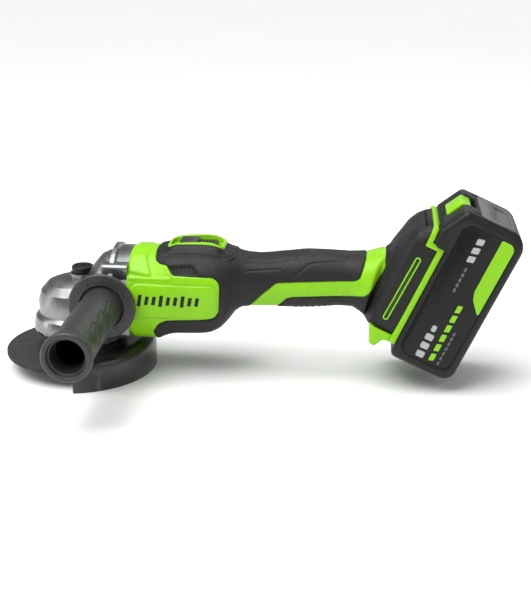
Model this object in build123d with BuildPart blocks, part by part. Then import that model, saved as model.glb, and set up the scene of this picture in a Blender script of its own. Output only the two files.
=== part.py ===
"""Cordless angle grinder with a slide-on battery, built as separate pieces.

Units are millimetres. The origin is the tip of the threaded spindle, +Z runs up along the spindle,
+X runs back along the motor and the grip to the battery, and the side handle points along -Y.
The battery and its foot lean back, so they are laid out in their own tilted frame: u runs up along
the battery's slide, v runs back out of the tool and y is shared with the main frame.
"""
import os
from math import cos, radians, sin

from build123d import *

# ---------------------------------------------------------------- driving dimensions
WHEEL_R = 57.5            # 115 mm disc
WHEEL_T = 3.2
WHEEL_TOP = 11.0
ARBOR_R = 11.11           # 22.23 mm centre hole

THREAD_R = 7.94           # 5/8 in spindle thread
SEAT_R = 7.4              # the spindle where its nut, wheel and flange sit, at the thread's root
SEAT_CLEARANCE = 0.05
STACK_TOP = 15.8          # top of the inner flange, against the spindle's shoulder
NUT_BOTTOM = 3.4          # the thread's free end reaches from the tip to here
SHOULDER_R = 10.0
SPINDLE_R = 6.0
SPINDLE_TOP_R = 4.0
SPINDLE_TOP = 65.0
RUN = 0.03                # radial clearance of a running fit

MOTOR_Z = 60.0            # height of the motor axis
SHAFT_R = 4.0
STATOR_R = 25.4
GEAR_TEETH = 33
PINION_TEETH = 10
GEAR_PITCH_R = 21.5
PINION_PITCH_R = GEAR_PITCH_R * PINION_TEETH / GEAR_TEETH
TOOTH_INNER_R = 14.5      # where the bevel teeth start, from the spindle axis
ADDENDUM = 1.0
DEDENDUM = 1.4
TOOTH_HALF_ROOT = 1.05    # half width of a tooth at its root and at its tip
TOOTH_HALF_TIP = 0.42
TOOTH_SINK = 0.4          # how far a tooth is sunk into its blank
GEAR_SEAT_Z = 41.0

COVER_BOTTOM = 24.0       # underside of the bearing cover's flange
CASE_BOTTOM = 42.0        # joint between bearing cover and gear case
CASE_R = 29.5
COVER_SCREW_R = 26.5      # screw circle of the bearing cover
NECK_SCREW_Y = 48.0       # spacings of the screws between gear case and motor housing
NECK_SCREW_Z = 46.0
CASE_TOP = 69.5
BOSS_TOP = 73.5

LOCK_X = 7.0              # spindle lock button
LOCK_R = 8.6
LOCK_PIN_X = 9.8
LOCK_PIN_R = 2.0
BUTTON_SEAT = 1.2         # how far the cap sits in its bore
BUTTON_HEIGHT = 7.0
PIN_FOOT = 50.8           # lower end of the lock pin, above the gear

NECK_R = 19.5             # round neck that the guard turns on
NECK_BOTTOM = 16.4
GUARD_R = 64.0
GUARD_TOP = 19.6
GUARD_BOTTOM = -5.3
GUARD_T = 1.8
GUARD_START = -80.0       # degrees, where the guard's sector begins
GUARD_SPAN = 180.0
COLLAR_R = 21.4           # outside of the guard's collar
CLAMP_Z = 19.2
CLAMP_SCREW_X = -26.6

HANDLE_X = 32.5
HANDLE_Z = 60.5
HANDLE_FACE = -45.7       # outer face of the handle's round flange
HANDLE_END = -149.4
BOSS_END = 41.5           # distance of both handle bosses from the mid-plane
M8_R = 4.0
BOSS_HOLE = 10.0          # how far the stud reaches into its boss

FLANGE_X = 50.0           # gear case meets motor housing
WALL = 2.5
SKIN = 1.3                # thickness of the soft overmould

TILT = 24.4               # lean of the battery from upright
U = Vector(sin(radians(TILT)), 0, cos(radians(TILT)))
V = Vector(cos(radians(TILT)), 0, -sin(radians(TILT)))
FACE_V = 220.06           # distance of the battery's front face from the origin, along V
BATTERY_BOTTOM = 128.5    # along U
BATTERY_TOP = 256.0
BATTERY_T = 52.2
BATTERY_HALF = 37.5
SHOULDER_U = 224.5        # where the battery's head steps forward over the foot
FOOT_BOTTOM = 139.0
FOOT_TOP = 233.0
RAIL_NECK = 19.5          # half width of the slot that the battery's tongue slides in
RAIL_WIDE = 23.6
RAIL_STEP = -9.8          # along V: where the slot widens, and its back wall
RAIL_BACK = -18.7
SLOPE_U = 235.7           # where the battery's sloping head begins
SEAM_V = 2.8              # joint between the battery's base and its shell
TONGUE_BOTTOM = 148.0
BLADE_U = 146.5           # foot of the terminal blades
BLADE_V = -14.8
CLIP_PITCH = 10.0
LABEL_T = 0.6
LABEL_CENTRE = (24.8, 192.0)
LABEL_SIZE = (41.4, 112.0)
CAP_T = 2.5
CAP_V = 28.0
CAP_SIZE = (30.0, 62.0)
CELL_R = 9.2
CELL_LENGTH = 65.0
CELL_PITCH = 18.9
CELL_FIRST_U = 141.0
CELL_ROWS = (17.0, 36.6)

SWITCH_X = 101.0          # middle of the switch opening
BEZEL_Z = 96.6
ROD_TOP = 88.2
SCREW_HEAD_Y = 12.0       # seat of the closing screws' heads
CLOSING_SCREWS = [(125.5, 80.0), (131.5, 67.0), (187.0, 58.8), (228.0, 86.0), (243.0, 66.0)]
LEAD_R = 1.6
LEAD_U = 144.0
LEAD_Y = 7.0


# ---------------------------------------------------------------- shared helpers
def tilted(u, v=0.0, y=0.0):
    """Point of the battery's tilted frame, in the main frame."""
    return U * u + V * (v + FACE_V) + Vector(0, y, 0)


def slide_plane(u):
    """Plane across the battery's slide: local x is v, local y is the main y."""
    return Plane(origin=tilted(u), x_dir=V, z_dir=U)


def side_plane(y=0.0):
    """Upright plane of the battery's profile: local x is v, local y is u."""
    return Plane(origin=tilted(0, 0, y), x_dir=V, z_dir=Vector(0, -1, 0))


def face_plane(v):
    """Plane along the battery's front face: local x is u, local y is -y of the main frame."""
    return Plane(origin=tilted(0, v), x_dir=U, z_dir=V)


def along_x(x, y=0.0, z=MOTOR_Z):
    """Plane square to X: local x is the main y, local y is the main z."""
    return Plane(origin=(x, y, z), x_dir=(0, 1, 0), z_dir=(1, 0, 0))


def along_y(y, x=0.0, z=0.0):
    """Plane square to Y: local x is the main x, local y is the main z, extruding towards -Y."""
    return Plane(origin=(x, y, z), x_dir=(1, 0, 0), z_dir=(0, -1, 0))


def at_z(z, x=0.0, y=0.0):
    return Plane(origin=(x, y, z))


def ring(plane, outer, inner, length):
    """Plain ring that starts on a plane."""
    with BuildPart() as piece:
        with BuildSketch(plane):
            Circle(outer)
            Circle(inner, mode=Mode.SUBTRACT)
        extrude(amount=length)
    return piece


def bearing(plane, outer, inner, width):
    """Shielded ball bearing: a ring with a shallow groove round each face."""
    middle = (outer + inner) / 2
    with BuildPart() as piece:
        with BuildSketch(plane):
            Circle(outer)
            Circle(inner, mode=Mode.SUBTRACT)
        extrude(amount=width)
        for height in (0, width - 0.4):
            with BuildSketch(plane.offset(height)):
                Circle(middle + (outer - inner) / 5)
                Circle(middle - (outer - inner) / 5, mode=Mode.SUBTRACT)
            extrude(amount=0.4, mode=Mode.SUBTRACT)
    return piece


def turned(points):
    """Solid of revolution about the spindle axis, from (radius, z) points."""
    with BuildPart() as piece:
        with BuildSketch(Plane.XZ):
            with BuildLine():
                Polyline(*points, close=True)
            make_face()
        revolve(axis=Axis.Z)
    return piece


def kept_part(shape):
    """Wrap a finished shape in a builder, so that every piece is handled alike."""
    with BuildPart() as piece:
        add(shape)
    return piece


def coil(plane, radius, wire_r, pitch, height):
    """Compression spring that stands on a plane."""
    with BuildPart() as piece:
        with BuildLine():
            wire = Helix(pitch=pitch, height=height, radius=radius)
        with BuildSketch(Plane(origin=wire @ 0, z_dir=wire % 0)):
            Circle(wire_r)
        sweep()
    return kept_part(plane.location * piece.part)


# ---------------------------------------------------------------- wheel and spindle
def cutting_wheel():
    return ring(at_z(WHEEL_TOP - WHEEL_T), WHEEL_R, ARBOR_R, WHEEL_T)


def inner_flange():
    """Backing flange with a boss that centres the wheel."""
    boss_r = ARBOR_R - 0.05
    boss_z = WHEEL_TOP - WHEEL_T + 0.4
    return turned([
        (SEAT_R + SEAT_CLEARANCE, boss_z), (boss_r, boss_z), (boss_r, WHEEL_TOP), (20.5, WHEEL_TOP),
        (20.5, 12.2), (16.5, STACK_TOP), (SEAT_R + SEAT_CLEARANCE, STACK_TOP),
    ])


def clamp_nut():
    """Round nut with four pin-spanner holes."""
    top = WHEEL_TOP - WHEEL_T
    with BuildPart() as nut:
        with BuildSketch(at_z(NUT_BOTTOM)):
            Circle(19.5)
            Circle(SEAT_R + SEAT_CLEARANCE, mode=Mode.SUBTRACT)
        extrude(amount=top - NUT_BOTTOM)
        with BuildSketch(at_z(NUT_BOTTOM)):
            with PolarLocations(15.0, 4, start_angle=45):
                Circle(2.4)
        extrude(amount=3.2, mode=Mode.SUBTRACT)
        chamfer(nut.edges().filter_by(GeomType.CIRCLE).group_by(Axis.Z)[0].sort_by(SortBy.RADIUS)[-1], 1.2)
    return nut


def spindle():
    return turned([
        (0, 0), (THREAD_R, 0), (THREAD_R, NUT_BOTTOM), (SEAT_R, NUT_BOTTOM), (SEAT_R, STACK_TOP),
        (SHOULDER_R, STACK_TOP), (SHOULDER_R, 25.8),
        (SPINDLE_R, 25.8), (SPINDLE_R, GEAR_SEAT_Z), (SPINDLE_R - 0.5, GEAR_SEAT_Z),
        (SPINDLE_R - 0.5, 51.5), (SPINDLE_TOP_R, 51.5), (SPINDLE_TOP_R, SPINDLE_TOP), (0, SPINDLE_TOP),
    ])


def gear_cone(x):
    """Height of the pitch cones' contact line at a distance x from the spindle axis."""
    return MOTOR_Z - x * PINION_PITCH_R / GEAR_PITCH_R


def tooth_section(x, root, tip):
    """Trapezoid of one bevel tooth on a plane square to X, smaller towards the spindle axis."""
    half_root = TOOTH_HALF_ROOT * x / GEAR_PITCH_R
    half_tip = TOOTH_HALF_TIP * x / GEAR_PITCH_R
    with BuildSketch(along_x(x, 0, 0)) as section:
        with BuildLine():
            Polyline((-half_root, root), (half_root, root), (half_tip, tip), (-half_tip, tip), close=True)
        make_face()
    return section.sketch


def bevel_gear():
    """Crown gear with straight bevel teeth and four holes for the lock pin."""
    outer = GEAR_PITCH_R
    inner = TOOTH_INNER_R
    scale = inner / outer
    root_out = gear_cone(outer) - DEDENDUM
    root_in = gear_cone(inner) - DEDENDUM * scale
    with BuildPart() as gear:
        with BuildSketch(Plane.XZ):
            with BuildLine():
                Polyline(
                    (SPINDLE_R - 0.48, GEAR_SEAT_Z), (12.0, GEAR_SEAT_Z), (outer, 45.5), (outer, root_out),
                    (inner, root_in), (inner - 1, 50.0), (SPINDLE_R - 0.48, 50.0), close=True)
            make_face()
        revolve(axis=Axis.Z)
        with BuildSketch(at_z(GEAR_SEAT_Z)):
            with PolarLocations(LOCK_PIN_X, 4):
                Circle(LOCK_PIN_R + 0.3)
        extrude(amount=12, mode=Mode.SUBTRACT)
    with BuildPart() as tooth:
        loft([
            tooth_section(inner, root_in - TOOTH_SINK, gear_cone(inner) + ADDENDUM * scale),
            tooth_section(outer, root_out - TOOTH_SINK, gear_cone(outer) + ADDENDUM),
        ])
    with BuildPart() as whole:
        add(gear.part)
        with PolarLocations(0, GEAR_TEETH):
            add(tooth.part)
    return whole


def bevel_pinion():
    """Ten-tooth bevel pinion, pressed on the motor shaft."""
    outer = GEAR_PITCH_R
    inner = TOOTH_INNER_R
    scale = inner / outer
    root_out = PINION_PITCH_R - DEDENDUM
    root_in = root_out * scale
    with BuildPart() as blank:
        with BuildSketch(Plane.XZ):
            with BuildLine():
                Polyline(
                    (inner, MOTOR_Z), (inner, MOTOR_Z + root_in), (outer, MOTOR_Z + root_out),
                    (outer + 2.5, MOTOR_Z + root_out), (outer + 2.5, MOTOR_Z), close=True)
            make_face()
        revolve(axis=Axis((0, 0, MOTOR_Z), (1, 0, 0)))
    with BuildPart() as tooth:
        loft([
            tooth_section(inner, root_in - TOOTH_SINK, (PINION_PITCH_R + ADDENDUM) * scale),
            tooth_section(outer, root_out - TOOTH_SINK, PINION_PITCH_R + ADDENDUM),
        ])
    with BuildPart() as pinion:
        add(blank.part)
        for index in range(PINION_TEETH):
            turn = (index + 0.5) * 360 / PINION_TEETH + 180
            with Locations(Location((0, 0, MOTOR_Z), (turn, 0, 0))):
                add(tooth.part)
        with BuildSketch(along_x(inner - 1)):
            Circle(3.02)
        extrude(amount=30, mode=Mode.SUBTRACT)
    return pinion


# ---------------------------------------------------------------- gear head
def spindle_bearing_lower():
    return bearing(at_z(26.0), 16.0, SPINDLE_R + RUN, 10.0)


def spindle_bearing_upper():
    return bearing(at_z(57.8), 6.5, SPINDLE_TOP_R + RUN, 7.6)


def dust_seal():
    """Felt ring between the spindle's shoulder and the bearing cover."""
    return ring(at_z(22.0), 14.0, SHOULDER_R + 0.1, 3.0)


def bearing_cover():
    """Cast cover that holds the lower bearing and carries the guard on its neck."""
    with BuildPart() as cover:
        with BuildSketch(Plane.XZ):
            with BuildLine():
                Polyline(
                    (12.0, NECK_BOTTOM), (NECK_R, NECK_BOTTOM), (NECK_R, COVER_BOTTOM), (30.5, COVER_BOTTOM),
                    (34.0, 28.0), (34.0, 33.0), (32.5, 39.0), (CASE_R, CASE_BOTTOM), (16.0, CASE_BOTTOM),
                    (16.0, 26.0), (14.0, 26.0), (14.0, 22.0), (12.0, 22.0), close=True)
            make_face()
        revolve(axis=Axis.Z)
        with BuildSketch(at_z(COVER_BOTTOM)):
            with PolarLocations(COVER_SCREW_R, 4, start_angle=45):
                Circle(3.9)
        extrude(amount=5.0, mode=Mode.SUBTRACT)
        with BuildSketch(at_z(COVER_BOTTOM)):
            with PolarLocations(COVER_SCREW_R, 4, start_angle=45):
                Circle(2.2)
        extrude(amount=20, mode=Mode.SUBTRACT)
    return cover


def bearing_cover_screws():
    """Four pan-head screws that hold the bearing cover from below."""
    with BuildPart() as screws:
        with BuildSketch(at_z(COVER_BOTTOM + 2.0)):
            with PolarLocations(COVER_SCREW_R, 4, start_angle=45):
                Circle(3.6)
        extrude(amount=3.0)
        with BuildSketch(at_z(COVER_BOTTOM + 5.0)):
            with PolarLocations(COVER_SCREW_R, 4, start_angle=45):
                Circle(1.98)
        extrude(amount=19.0)
        with BuildSketch(at_z(COVER_BOTTOM + 2.0)):
            with PolarLocations(COVER_SCREW_R, 4, start_angle=45):
                RegularPolygon(1.7, 6)
        extrude(amount=1.6, mode=Mode.SUBTRACT)
    return screws


def gear_case():
    """Cast gear case: a rounded upright drum, a round neck to the motor and a boss each side."""
    with BuildPart() as case:
        with BuildSketch(Plane.XZ):
            with BuildLine():
                Polyline(
                    (0, CASE_BOTTOM), (CASE_R, CASE_BOTTOM), (CASE_R, 52.0), (27.0, 60.0), (21.5, 66.0),
                    (14.0, 69.0), (9.0, CASE_TOP), (0, CASE_TOP), close=True)
            make_face()
        revolve(axis=Axis.Z)
        with BuildSketch(Plane.XZ):
            with BuildLine():
                Polyline(
                    (8.0, MOTOR_Z), (15.0, MOTOR_Z + 19.0), (19.0, MOTOR_Z + 24.0), (24.0, MOTOR_Z + 29.5),
                    (30.0, MOTOR_Z + 32.2), (35.0, MOTOR_Z + 33.0), (35.0, MOTOR_Z + 38.2),
                    (38.6, MOTOR_Z + 38.2), (38.6, MOTOR_Z + 34.6), (FLANGE_X, MOTOR_Z + 35.4),
                    (FLANGE_X, MOTOR_Z), close=True)
            make_face()
        revolve(axis=Axis((0, 0, MOTOR_Z), (1, 0, 0)))
        with BuildSketch(at_z(0)):
            with Locations((19.3, 0)):
                Rectangle(38.6, 100)
        extrude(amount=CASE_BOTTOM, mode=Mode.SUBTRACT)
        with BuildSketch(along_x(30.0)):
            with GridLocations(NECK_SCREW_Y, NECK_SCREW_Z, 2, 2):
                RectangleRounded(13.0, 13.0, 3.0)
        extrude(amount=FLANGE_X - 30.0)
        with BuildSketch(along_y(BOSS_END, HANDLE_X, HANDLE_Z)):
            Circle(12.5)
        extrude(amount=2 * BOSS_END)
        with BuildSketch(at_z(60.0, LOCK_X)):
            Circle(10.8)
        extrude(amount=BOSS_TOP - 60.0, taper=2)
        add(gear_case_hollows(), mode=Mode.SUBTRACT)
    return case


def gear_case_hollows():
    """Everything that is bored out of the gear case."""
    with BuildPart() as hollows:
        with BuildSketch(at_z(CASE_BOTTOM)):
            Circle(23.6)
        extrude(amount=15.4)
        with BuildSketch(at_z(50.0)):
            Circle(6.5)
        extrude(amount=15.6)
        with BuildSketch(along_x(10.0)):
            Circle(8.6)
        extrude(amount=20.0)
        with BuildSketch(along_x(27.0)):
            Circle(11.0)
        extrude(amount=7.0)
        with BuildSketch(along_x(34.0)):
            Circle(9.5)
        extrude(amount=8.0)
        with BuildSketch(along_x(40.0)):
            Circle(30.0)
        extrude(amount=12.0)
        with BuildSketch(along_x(30.0)):
            with GridLocations(NECK_SCREW_Y, NECK_SCREW_Z, 2, 2):
                Circle(2.2)
        extrude(amount=25.0)
        with BuildSketch(along_x(29.9)):
            with GridLocations(NECK_SCREW_Y, NECK_SCREW_Z, 2, 2):
                Circle(3.9)
        extrude(amount=5.1)
        with BuildSketch(along_y(BOSS_END + 1, HANDLE_X, HANDLE_Z)):
            Circle(M8_R)
        extrude(amount=13.0)
        with BuildSketch(along_y(-BOSS_END + 12, HANDLE_X, HANDLE_Z)):
            Circle(M8_R)
        extrude(amount=13.0)
        with BuildSketch(at_z(48.0, LOCK_PIN_X)):
            Circle(LOCK_PIN_R + 0.06)
        extrude(amount=30)
        with BuildSketch(at_z(BOSS_TOP - 6.5, LOCK_X)):
            Circle(LOCK_R + 0.1)
        extrude(amount=30)
        with BuildSketch(at_z(CASE_BOTTOM)):
            with PolarLocations(COVER_SCREW_R, 4, start_angle=45):
                Circle(2.0)
        extrude(amount=7.0)
    return hollows.part


def gear_case_screws():
    """Four long screws through the neck into the motor housing."""
    with BuildPart() as screws:
        with BuildSketch(along_x(31.0)):
            with GridLocations(NECK_SCREW_Y, NECK_SCREW_Z, 2, 2):
                Circle(3.7)
        extrude(amount=4.0)
        with BuildSketch(along_x(35.0)):
            with GridLocations(NECK_SCREW_Y, NECK_SCREW_Z, 2, 2):
                Circle(2.0)
        extrude(amount=27.0)
        with BuildSketch(along_x(31.0)):
            with GridLocations(NECK_SCREW_Y, NECK_SCREW_Z, 2, 2):
                RegularPolygon(1.9, 6)
        extrude(amount=2.2, mode=Mode.SUBTRACT)
    return screws


def spindle_lock_button():
    """Round push cap with four grip grooves."""
    with BuildPart() as button:
        with BuildSketch(at_z(BOSS_TOP - BUTTON_SEAT, LOCK_X)):
            Circle(LOCK_R)
        extrude(amount=BUTTON_HEIGHT)
        fillet(button.edges().filter_by(GeomType.CIRCLE).group_by(Axis.Z)[-1], 1.2)
        with BuildSketch(at_z(BOSS_TOP - BUTTON_SEAT + BUTTON_HEIGHT - 1.1, LOCK_X)):
            with GridLocations(3.2, 0, 4, 1):
                SlotOverall(9.0, 1.2, rotation=90)
        extrude(amount=2.0, mode=Mode.SUBTRACT)
    return button


def lock_pin():
    with BuildPart() as pin:
        with BuildSketch(at_z(PIN_FOOT, LOCK_PIN_X)):
            Circle(LOCK_PIN_R)
        extrude(amount=BOSS_TOP - BUTTON_SEAT - PIN_FOOT)
    return pin


def lock_spring():
    return coil(at_z(BOSS_TOP - 6.2, LOCK_PIN_X), 3.0, 0.4, 1.6, 4.2)


# ---------------------------------------------------------------- guard
def guard():
    """Pressed steel wheel guard: rim, dished top, raised hub and the collar that turns on the neck."""
    t = GUARD_T
    top = GUARD_TOP
    web = GUARD_TOP - 1.6
    hub = 29.5
    with BuildPart() as shell:
        with BuildSketch(Plane.XZ.rotated((0, 0, GUARD_START))):
            with BuildLine():
                Polyline(
                    (GUARD_R, GUARD_BOTTOM), (GUARD_R, top - 5.5), (GUARD_R - 1.4, top - 2),
                    (GUARD_R - 5.2, top), (50.0, top), (47.0, web), (42.5, web), (38.4, top + 2.0),
                    (37.2, hub), (35.6, hub), (36.6, top + 1.0), (41.5, web - t), (47.6, web - t),
                    (50.6, top - t), (GUARD_R - 5.6, top - t), (GUARD_R - 2.9, top - 3.4),
                    (GUARD_R - t, top - 5.8), (GUARD_R - t, GUARD_BOTTOM), close=True)
            make_face()
        revolve(axis=Axis.Z, revolution_arc=GUARD_SPAN)
        with BuildSketch(Plane.XZ.rotated((0, 0, GUARD_START))):
            with BuildLine():
                Polyline((21.0, web - t), (42.5, web - t), (42.5, web), (21.0, web), close=True)
            make_face()
        revolve(axis=Axis.Z, revolution_arc=GUARD_SPAN)
        with BuildSketch(at_z(web - t)):
            Circle(COLLAR_R)
            Circle(NECK_R + 0.08, mode=Mode.SUBTRACT)
        extrude(amount=7.0)
    return shell


def guard_clamp():
    """Band round the guard's collar, with two ears drawn together by a screw."""
    with BuildPart() as clamp:
        with BuildSketch(at_z(CLAMP_Z)):
            Circle(COLLAR_R + 1.8)
            with Locations((-25.5, 0)):
                Rectangle(7.0, 8.0)
            Circle(COLLAR_R + 0.02, mode=Mode.SUBTRACT)
            with Locations((-25.0, 0)):
                Rectangle(10.0, 2.4, mode=Mode.SUBTRACT)
        extrude(amount=3.6)
        with BuildSketch(along_y(6.0, CLAMP_SCREW_X, CLAMP_Z + 1.8)):
            Circle(1.05)
        extrude(amount=12.0, mode=Mode.SUBTRACT)
    return clamp


def guard_clamp_screw():
    with BuildPart() as screw:
        with BuildSketch(along_y(4.05, CLAMP_SCREW_X, CLAMP_Z + 1.8)):
            Circle(1.0)
        extrude(amount=8.0)
        with BuildSketch(along_y(6.0, CLAMP_SCREW_X, CLAMP_Z + 1.8)):
            Circle(1.7)
        extrude(amount=1.95)
    return screw


# ---------------------------------------------------------------- side handle
def side_handle():
    """Moulded handle: round flange with a well, and a hollow grip that flares at its end."""
    with BuildPart() as handle:
        with BuildSketch(Plane.XY.offset(HANDLE_Z)):
            with BuildLine():
                Polyline(
                    (HANDLE_X, -BOSS_END), (HANDLE_X + 24.5, -BOSS_END), (HANDLE_X + 26.4, -BOSS_END - 1.8),
                    (HANDLE_X + 26.4, HANDLE_FACE + 1.0), (HANDLE_X + 25.4, HANDLE_FACE),
                    (HANDLE_X + 17.0, HANDLE_FACE), (HANDLE_X + 15.6, HANDLE_FACE - 4.0),
                    (HANDLE_X + 15.8, HANDLE_FACE - 50.0), (HANDLE_X + 16.4, HANDLE_END + 14.0),
                    (HANDLE_X + 18.6, HANDLE_END + 4.0), (HANDLE_X + 18.6, HANDLE_END + 1.2),
                    (HANDLE_X + 17.4, HANDLE_END), (HANDLE_X + 14.6, HANDLE_END),
                    (HANDLE_X + 13.4, HANDLE_END + 3.0), (HANDLE_X + 12.6, HANDLE_END + 3.0),
                    (HANDLE_X + 12.6, HANDLE_FACE - 8.0), (HANDLE_X, HANDLE_FACE - 8.0), close=True)
            make_face()
        revolve(axis=Axis((HANDLE_X, 0, HANDLE_Z), (0, 1, 0)))
        with BuildSketch(along_y(-BOSS_END + 1, HANDLE_X, HANDLE_Z)):
            Circle(M8_R + 0.02)
        extrude(amount=20, mode=Mode.SUBTRACT)
        with BuildSketch(along_y(HANDLE_FACE - 4.0, HANDLE_X, HANDLE_Z)):
            RegularPolygon(6.62, 6, major_radius=False)
        extrude(amount=10, mode=Mode.SUBTRACT)
    return handle


def handle_sleeve():
    """Thin lining tube inside the hollow grip."""
    with BuildPart() as sleeve:
        with BuildSketch(along_y(HANDLE_FACE - 12.0, HANDLE_X, HANDLE_Z)):
            Circle(12.58)
            Circle(11.4, mode=Mode.SUBTRACT)
        extrude(amount=-HANDLE_END + HANDLE_FACE - 12.0 - 16.0)
    return sleeve


def handle_stud():
    """M8 hexagon bolt that fastens the handle into the gear case."""
    with BuildPart() as stud:
        with BuildSketch(along_y(HANDLE_FACE - 4.0, HANDLE_X, HANDLE_Z)):
            RegularPolygon(6.5, 6, major_radius=False)
        extrude(amount=5.5)
        with BuildSketch(along_y(BOSS_HOLE - BOSS_END, HANDLE_X, HANDLE_Z)):
            Circle(M8_R - 0.02)
        extrude(amount=BOSS_HOLE + 4.0 - HANDLE_FACE - BOSS_END)
    return stud


# ---------------------------------------------------------------- motor
def rotor_shaft():
    with BuildPart() as shaft:
        with BuildSketch(along_x(15.0)):
            Circle(3.0)
        extrude(amount=9.0)
        with BuildSketch(along_x(24.0)):
            Circle(SHAFT_R)
        extrude(amount=98.0)
    return shaft


def rotor_core():
    return ring(along_x(70.0), 11.6, SHAFT_R + 0.02, 36.0)


def rotor_magnets():
    """Four magnet tiles round the rotor core."""
    with BuildPart() as magnets:
        with BuildSketch(along_x(70.0)):
            Circle(13.0)
            Circle(11.6, mode=Mode.SUBTRACT)
            Rectangle(1.0, 30.0, mode=Mode.SUBTRACT)
            Rectangle(30.0, 1.0, mode=Mode.SUBTRACT)
        extrude(amount=36.0)
    return magnets


def stator_core():
    """Laminated stator with six poles."""
    with BuildPart() as stator:
        with BuildSketch(along_x(70.0)):
            Circle(STATOR_R)
            Circle(21.6, mode=Mode.SUBTRACT)
            with PolarLocations(18.5, 6):
                Rectangle(8.0, 4.4)
            with PolarLocations(14.9, 6):
                Rectangle(1.6, 11.0)
            Circle(13.6, mode=Mode.SUBTRACT)
        extrude(amount=36.0)
    return stator


def stator_windings():
    """Six copper coils, one round each pole."""
    with BuildPart() as windings:
        with BuildSketch(along_x(66.5)):
            with PolarLocations(18.45, 6):
                Rectangle(5.2, 8.6)
        extrude(amount=43.0)
        with BuildSketch(along_x(69.9)):
            with PolarLocations(18.6, 6):
                Rectangle(5.6, 4.6)
        extrude(amount=36.2, mode=Mode.SUBTRACT)
    return windings


def motor_bearing_front():
    return bearing(along_x(27.0), 11.0, SHAFT_R + RUN, 7.0)


def motor_bearing_rear():
    return bearing(along_x(114.0), 9.5, SHAFT_R + RUN, 6.0)


def cooling_fan():
    """Radial fan with a hub, a back plate and straight blades."""
    with BuildPart() as fan:
        with BuildSketch(along_x(54.0)):
            Circle(8.0)
        extrude(amount=9.0)
        with BuildSketch(along_x(61.2)):
            Circle(26.0)
        extrude(amount=1.8)
        with BuildSketch(along_x(54.5)):
            with PolarLocations(16.0, 12):
                Rectangle(17.0, 1.4)
        extrude(amount=7.0)
        with BuildSketch(along_x(50.0)):
            Circle(SHAFT_R + 0.02)
        extrude(amount=20.0, mode=Mode.SUBTRACT)
    return fan


def air_baffle():
    """Ring that guides the cooling air into the fan."""
    return ring(along_x(64.2), 27.5, 14.0, 1.4)


def position_board():
    """Ring board with the rotor position sensors, behind the windings."""
    with BuildPart() as board:
        with BuildSketch(along_x(110.6)):
            Circle(24.0)
            Circle(8.0, mode=Mode.SUBTRACT)
        extrude(amount=1.6)
        with BuildSketch(along_x(109.8)):
            with PolarLocations(11.0, 3, start_angle=30):
                Rectangle(3.0, 4.0)
        extrude(amount=0.8)
    return board


# ---------------------------------------------------------------- motor housing and grip
# Stations along X of the body: x, top, bottom, half width, corner radius.
BODY = [
    (FLANGE_X, 97.4, 22.6, 37.4, 33.0),
    (70.0, 97.2, 23.2, 37.2, 32.0),
    (84.0, 98.5, 29.5, 37.0, 26.0),
    (106.0, 99.0, 30.5, 37.0, 26.0),
    (117.0, 98.0, 33.0, 36.0, 25.0),
    (126.0, 96.0, 41.0, 32.5, 22.0),
    (132.5, 94.5, 49.0, 27.5, 20.0),
    (139.0, 93.3, 52.0, 23.5, 18.0),
    (149.0, 92.8, 52.1, 21.5, 17.5),
    (174.0, 95.7, 52.2, 20.0, 16.5),
    (190.0, 97.4, 52.8, 20.0, 16.5),
    (206.0, 97.1, 54.2, 20.0, 16.5),
    (222.0, 96.4, 55.0, 20.5, 16.5),
    (231.0, 96.4, 48.0, 22.5, 16.5),
    (240.0, 99.0, 44.0, 25.0, 16.5),
    (250.0, 103.0, 52.0, 26.0, 16.5),
]


def body_solid(shrink, last=len(BODY)):
    """Loft through the body's stations, taken in by the same amount all round."""
    with BuildPart() as solid:
        for x, top, bottom, half, corner in BODY[:last]:
            with BuildSketch(along_x(x, 0, (top + bottom) / 2)):
                RectangleRounded(2 * (half - shrink), top - bottom - 2 * shrink, max(corner - shrink, 4.0))
        loft(ruled=True)
    return solid.part


def foot_solid(shrink, bottom, top):
    """Block that the battery hangs on, with slanted front corners and a sloping head."""
    with BuildPart() as solid:
        with BuildSketch(slide_plane(bottom)):
            with BuildLine():
                Polyline(
                    (-3.0, shrink - 34.5), (shrink * 0.5 - 22.0, shrink - 33.0),
                    (shrink - 33.5, shrink - 18.0), (shrink - 33.5, 18.0 - shrink),
                    (shrink * 0.5 - 22.0, 33.0 - shrink), (-3.0, 34.5 - shrink), close=True)
            make_face()
        extrude(amount=top - bottom)
        with BuildSketch(side_plane(-50.0)):
            with BuildLine():
                Polyline((-10.8, SHOULDER_U - 1.6), (5.0, SHOULDER_U - 1.6), (5.0, 260.0), (-10.8, 260.0),
                         close=True)
            make_face()
        extrude(amount=-100.0, mode=Mode.SUBTRACT)
        with BuildSketch(side_plane(-50.0)):
            with BuildLine():
                Polyline((shrink - 33.6, 196.0), (shrink - 29.0, 213.0), (shrink - 21.5, 227.5),
                         (shrink - 12.0, 234.5), (-60.0, 260.0), (-60.0, 196.0), close=True)
            make_face()
        extrude(amount=-100.0, mode=Mode.SUBTRACT)
        with BuildSketch(side_plane(-50.0)):
            with BuildLine():
                Polyline((shrink - 36.0, 156.0), (shrink - 24.0, bottom - 1), (-60.0, bottom - 1),
                         (-60.0, 156.0), close=True)
            make_face()
        extrude(amount=-100.0, mode=Mode.SUBTRACT)
    return solid.part


def slide_channel(bottom, top, grow):
    """T-shaped slot of the foot, or the tongue of the battery when grow is negative."""
    neck = RAIL_NECK + grow
    wide = RAIL_WIDE + grow
    step = RAIL_STEP + grow
    back = RAIL_BACK - grow
    with BuildPart() as channel:
        with BuildSketch(slide_plane(bottom)):
            with BuildLine():
                Polyline(
                    (1.0, -neck), (step, -neck), (step, -wide), (back, -wide),
                    (back, wide), (step, wide), (step, neck), (1.0, neck), close=True)
            make_face()
        extrude(amount=top - bottom)
    return channel.part


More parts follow.
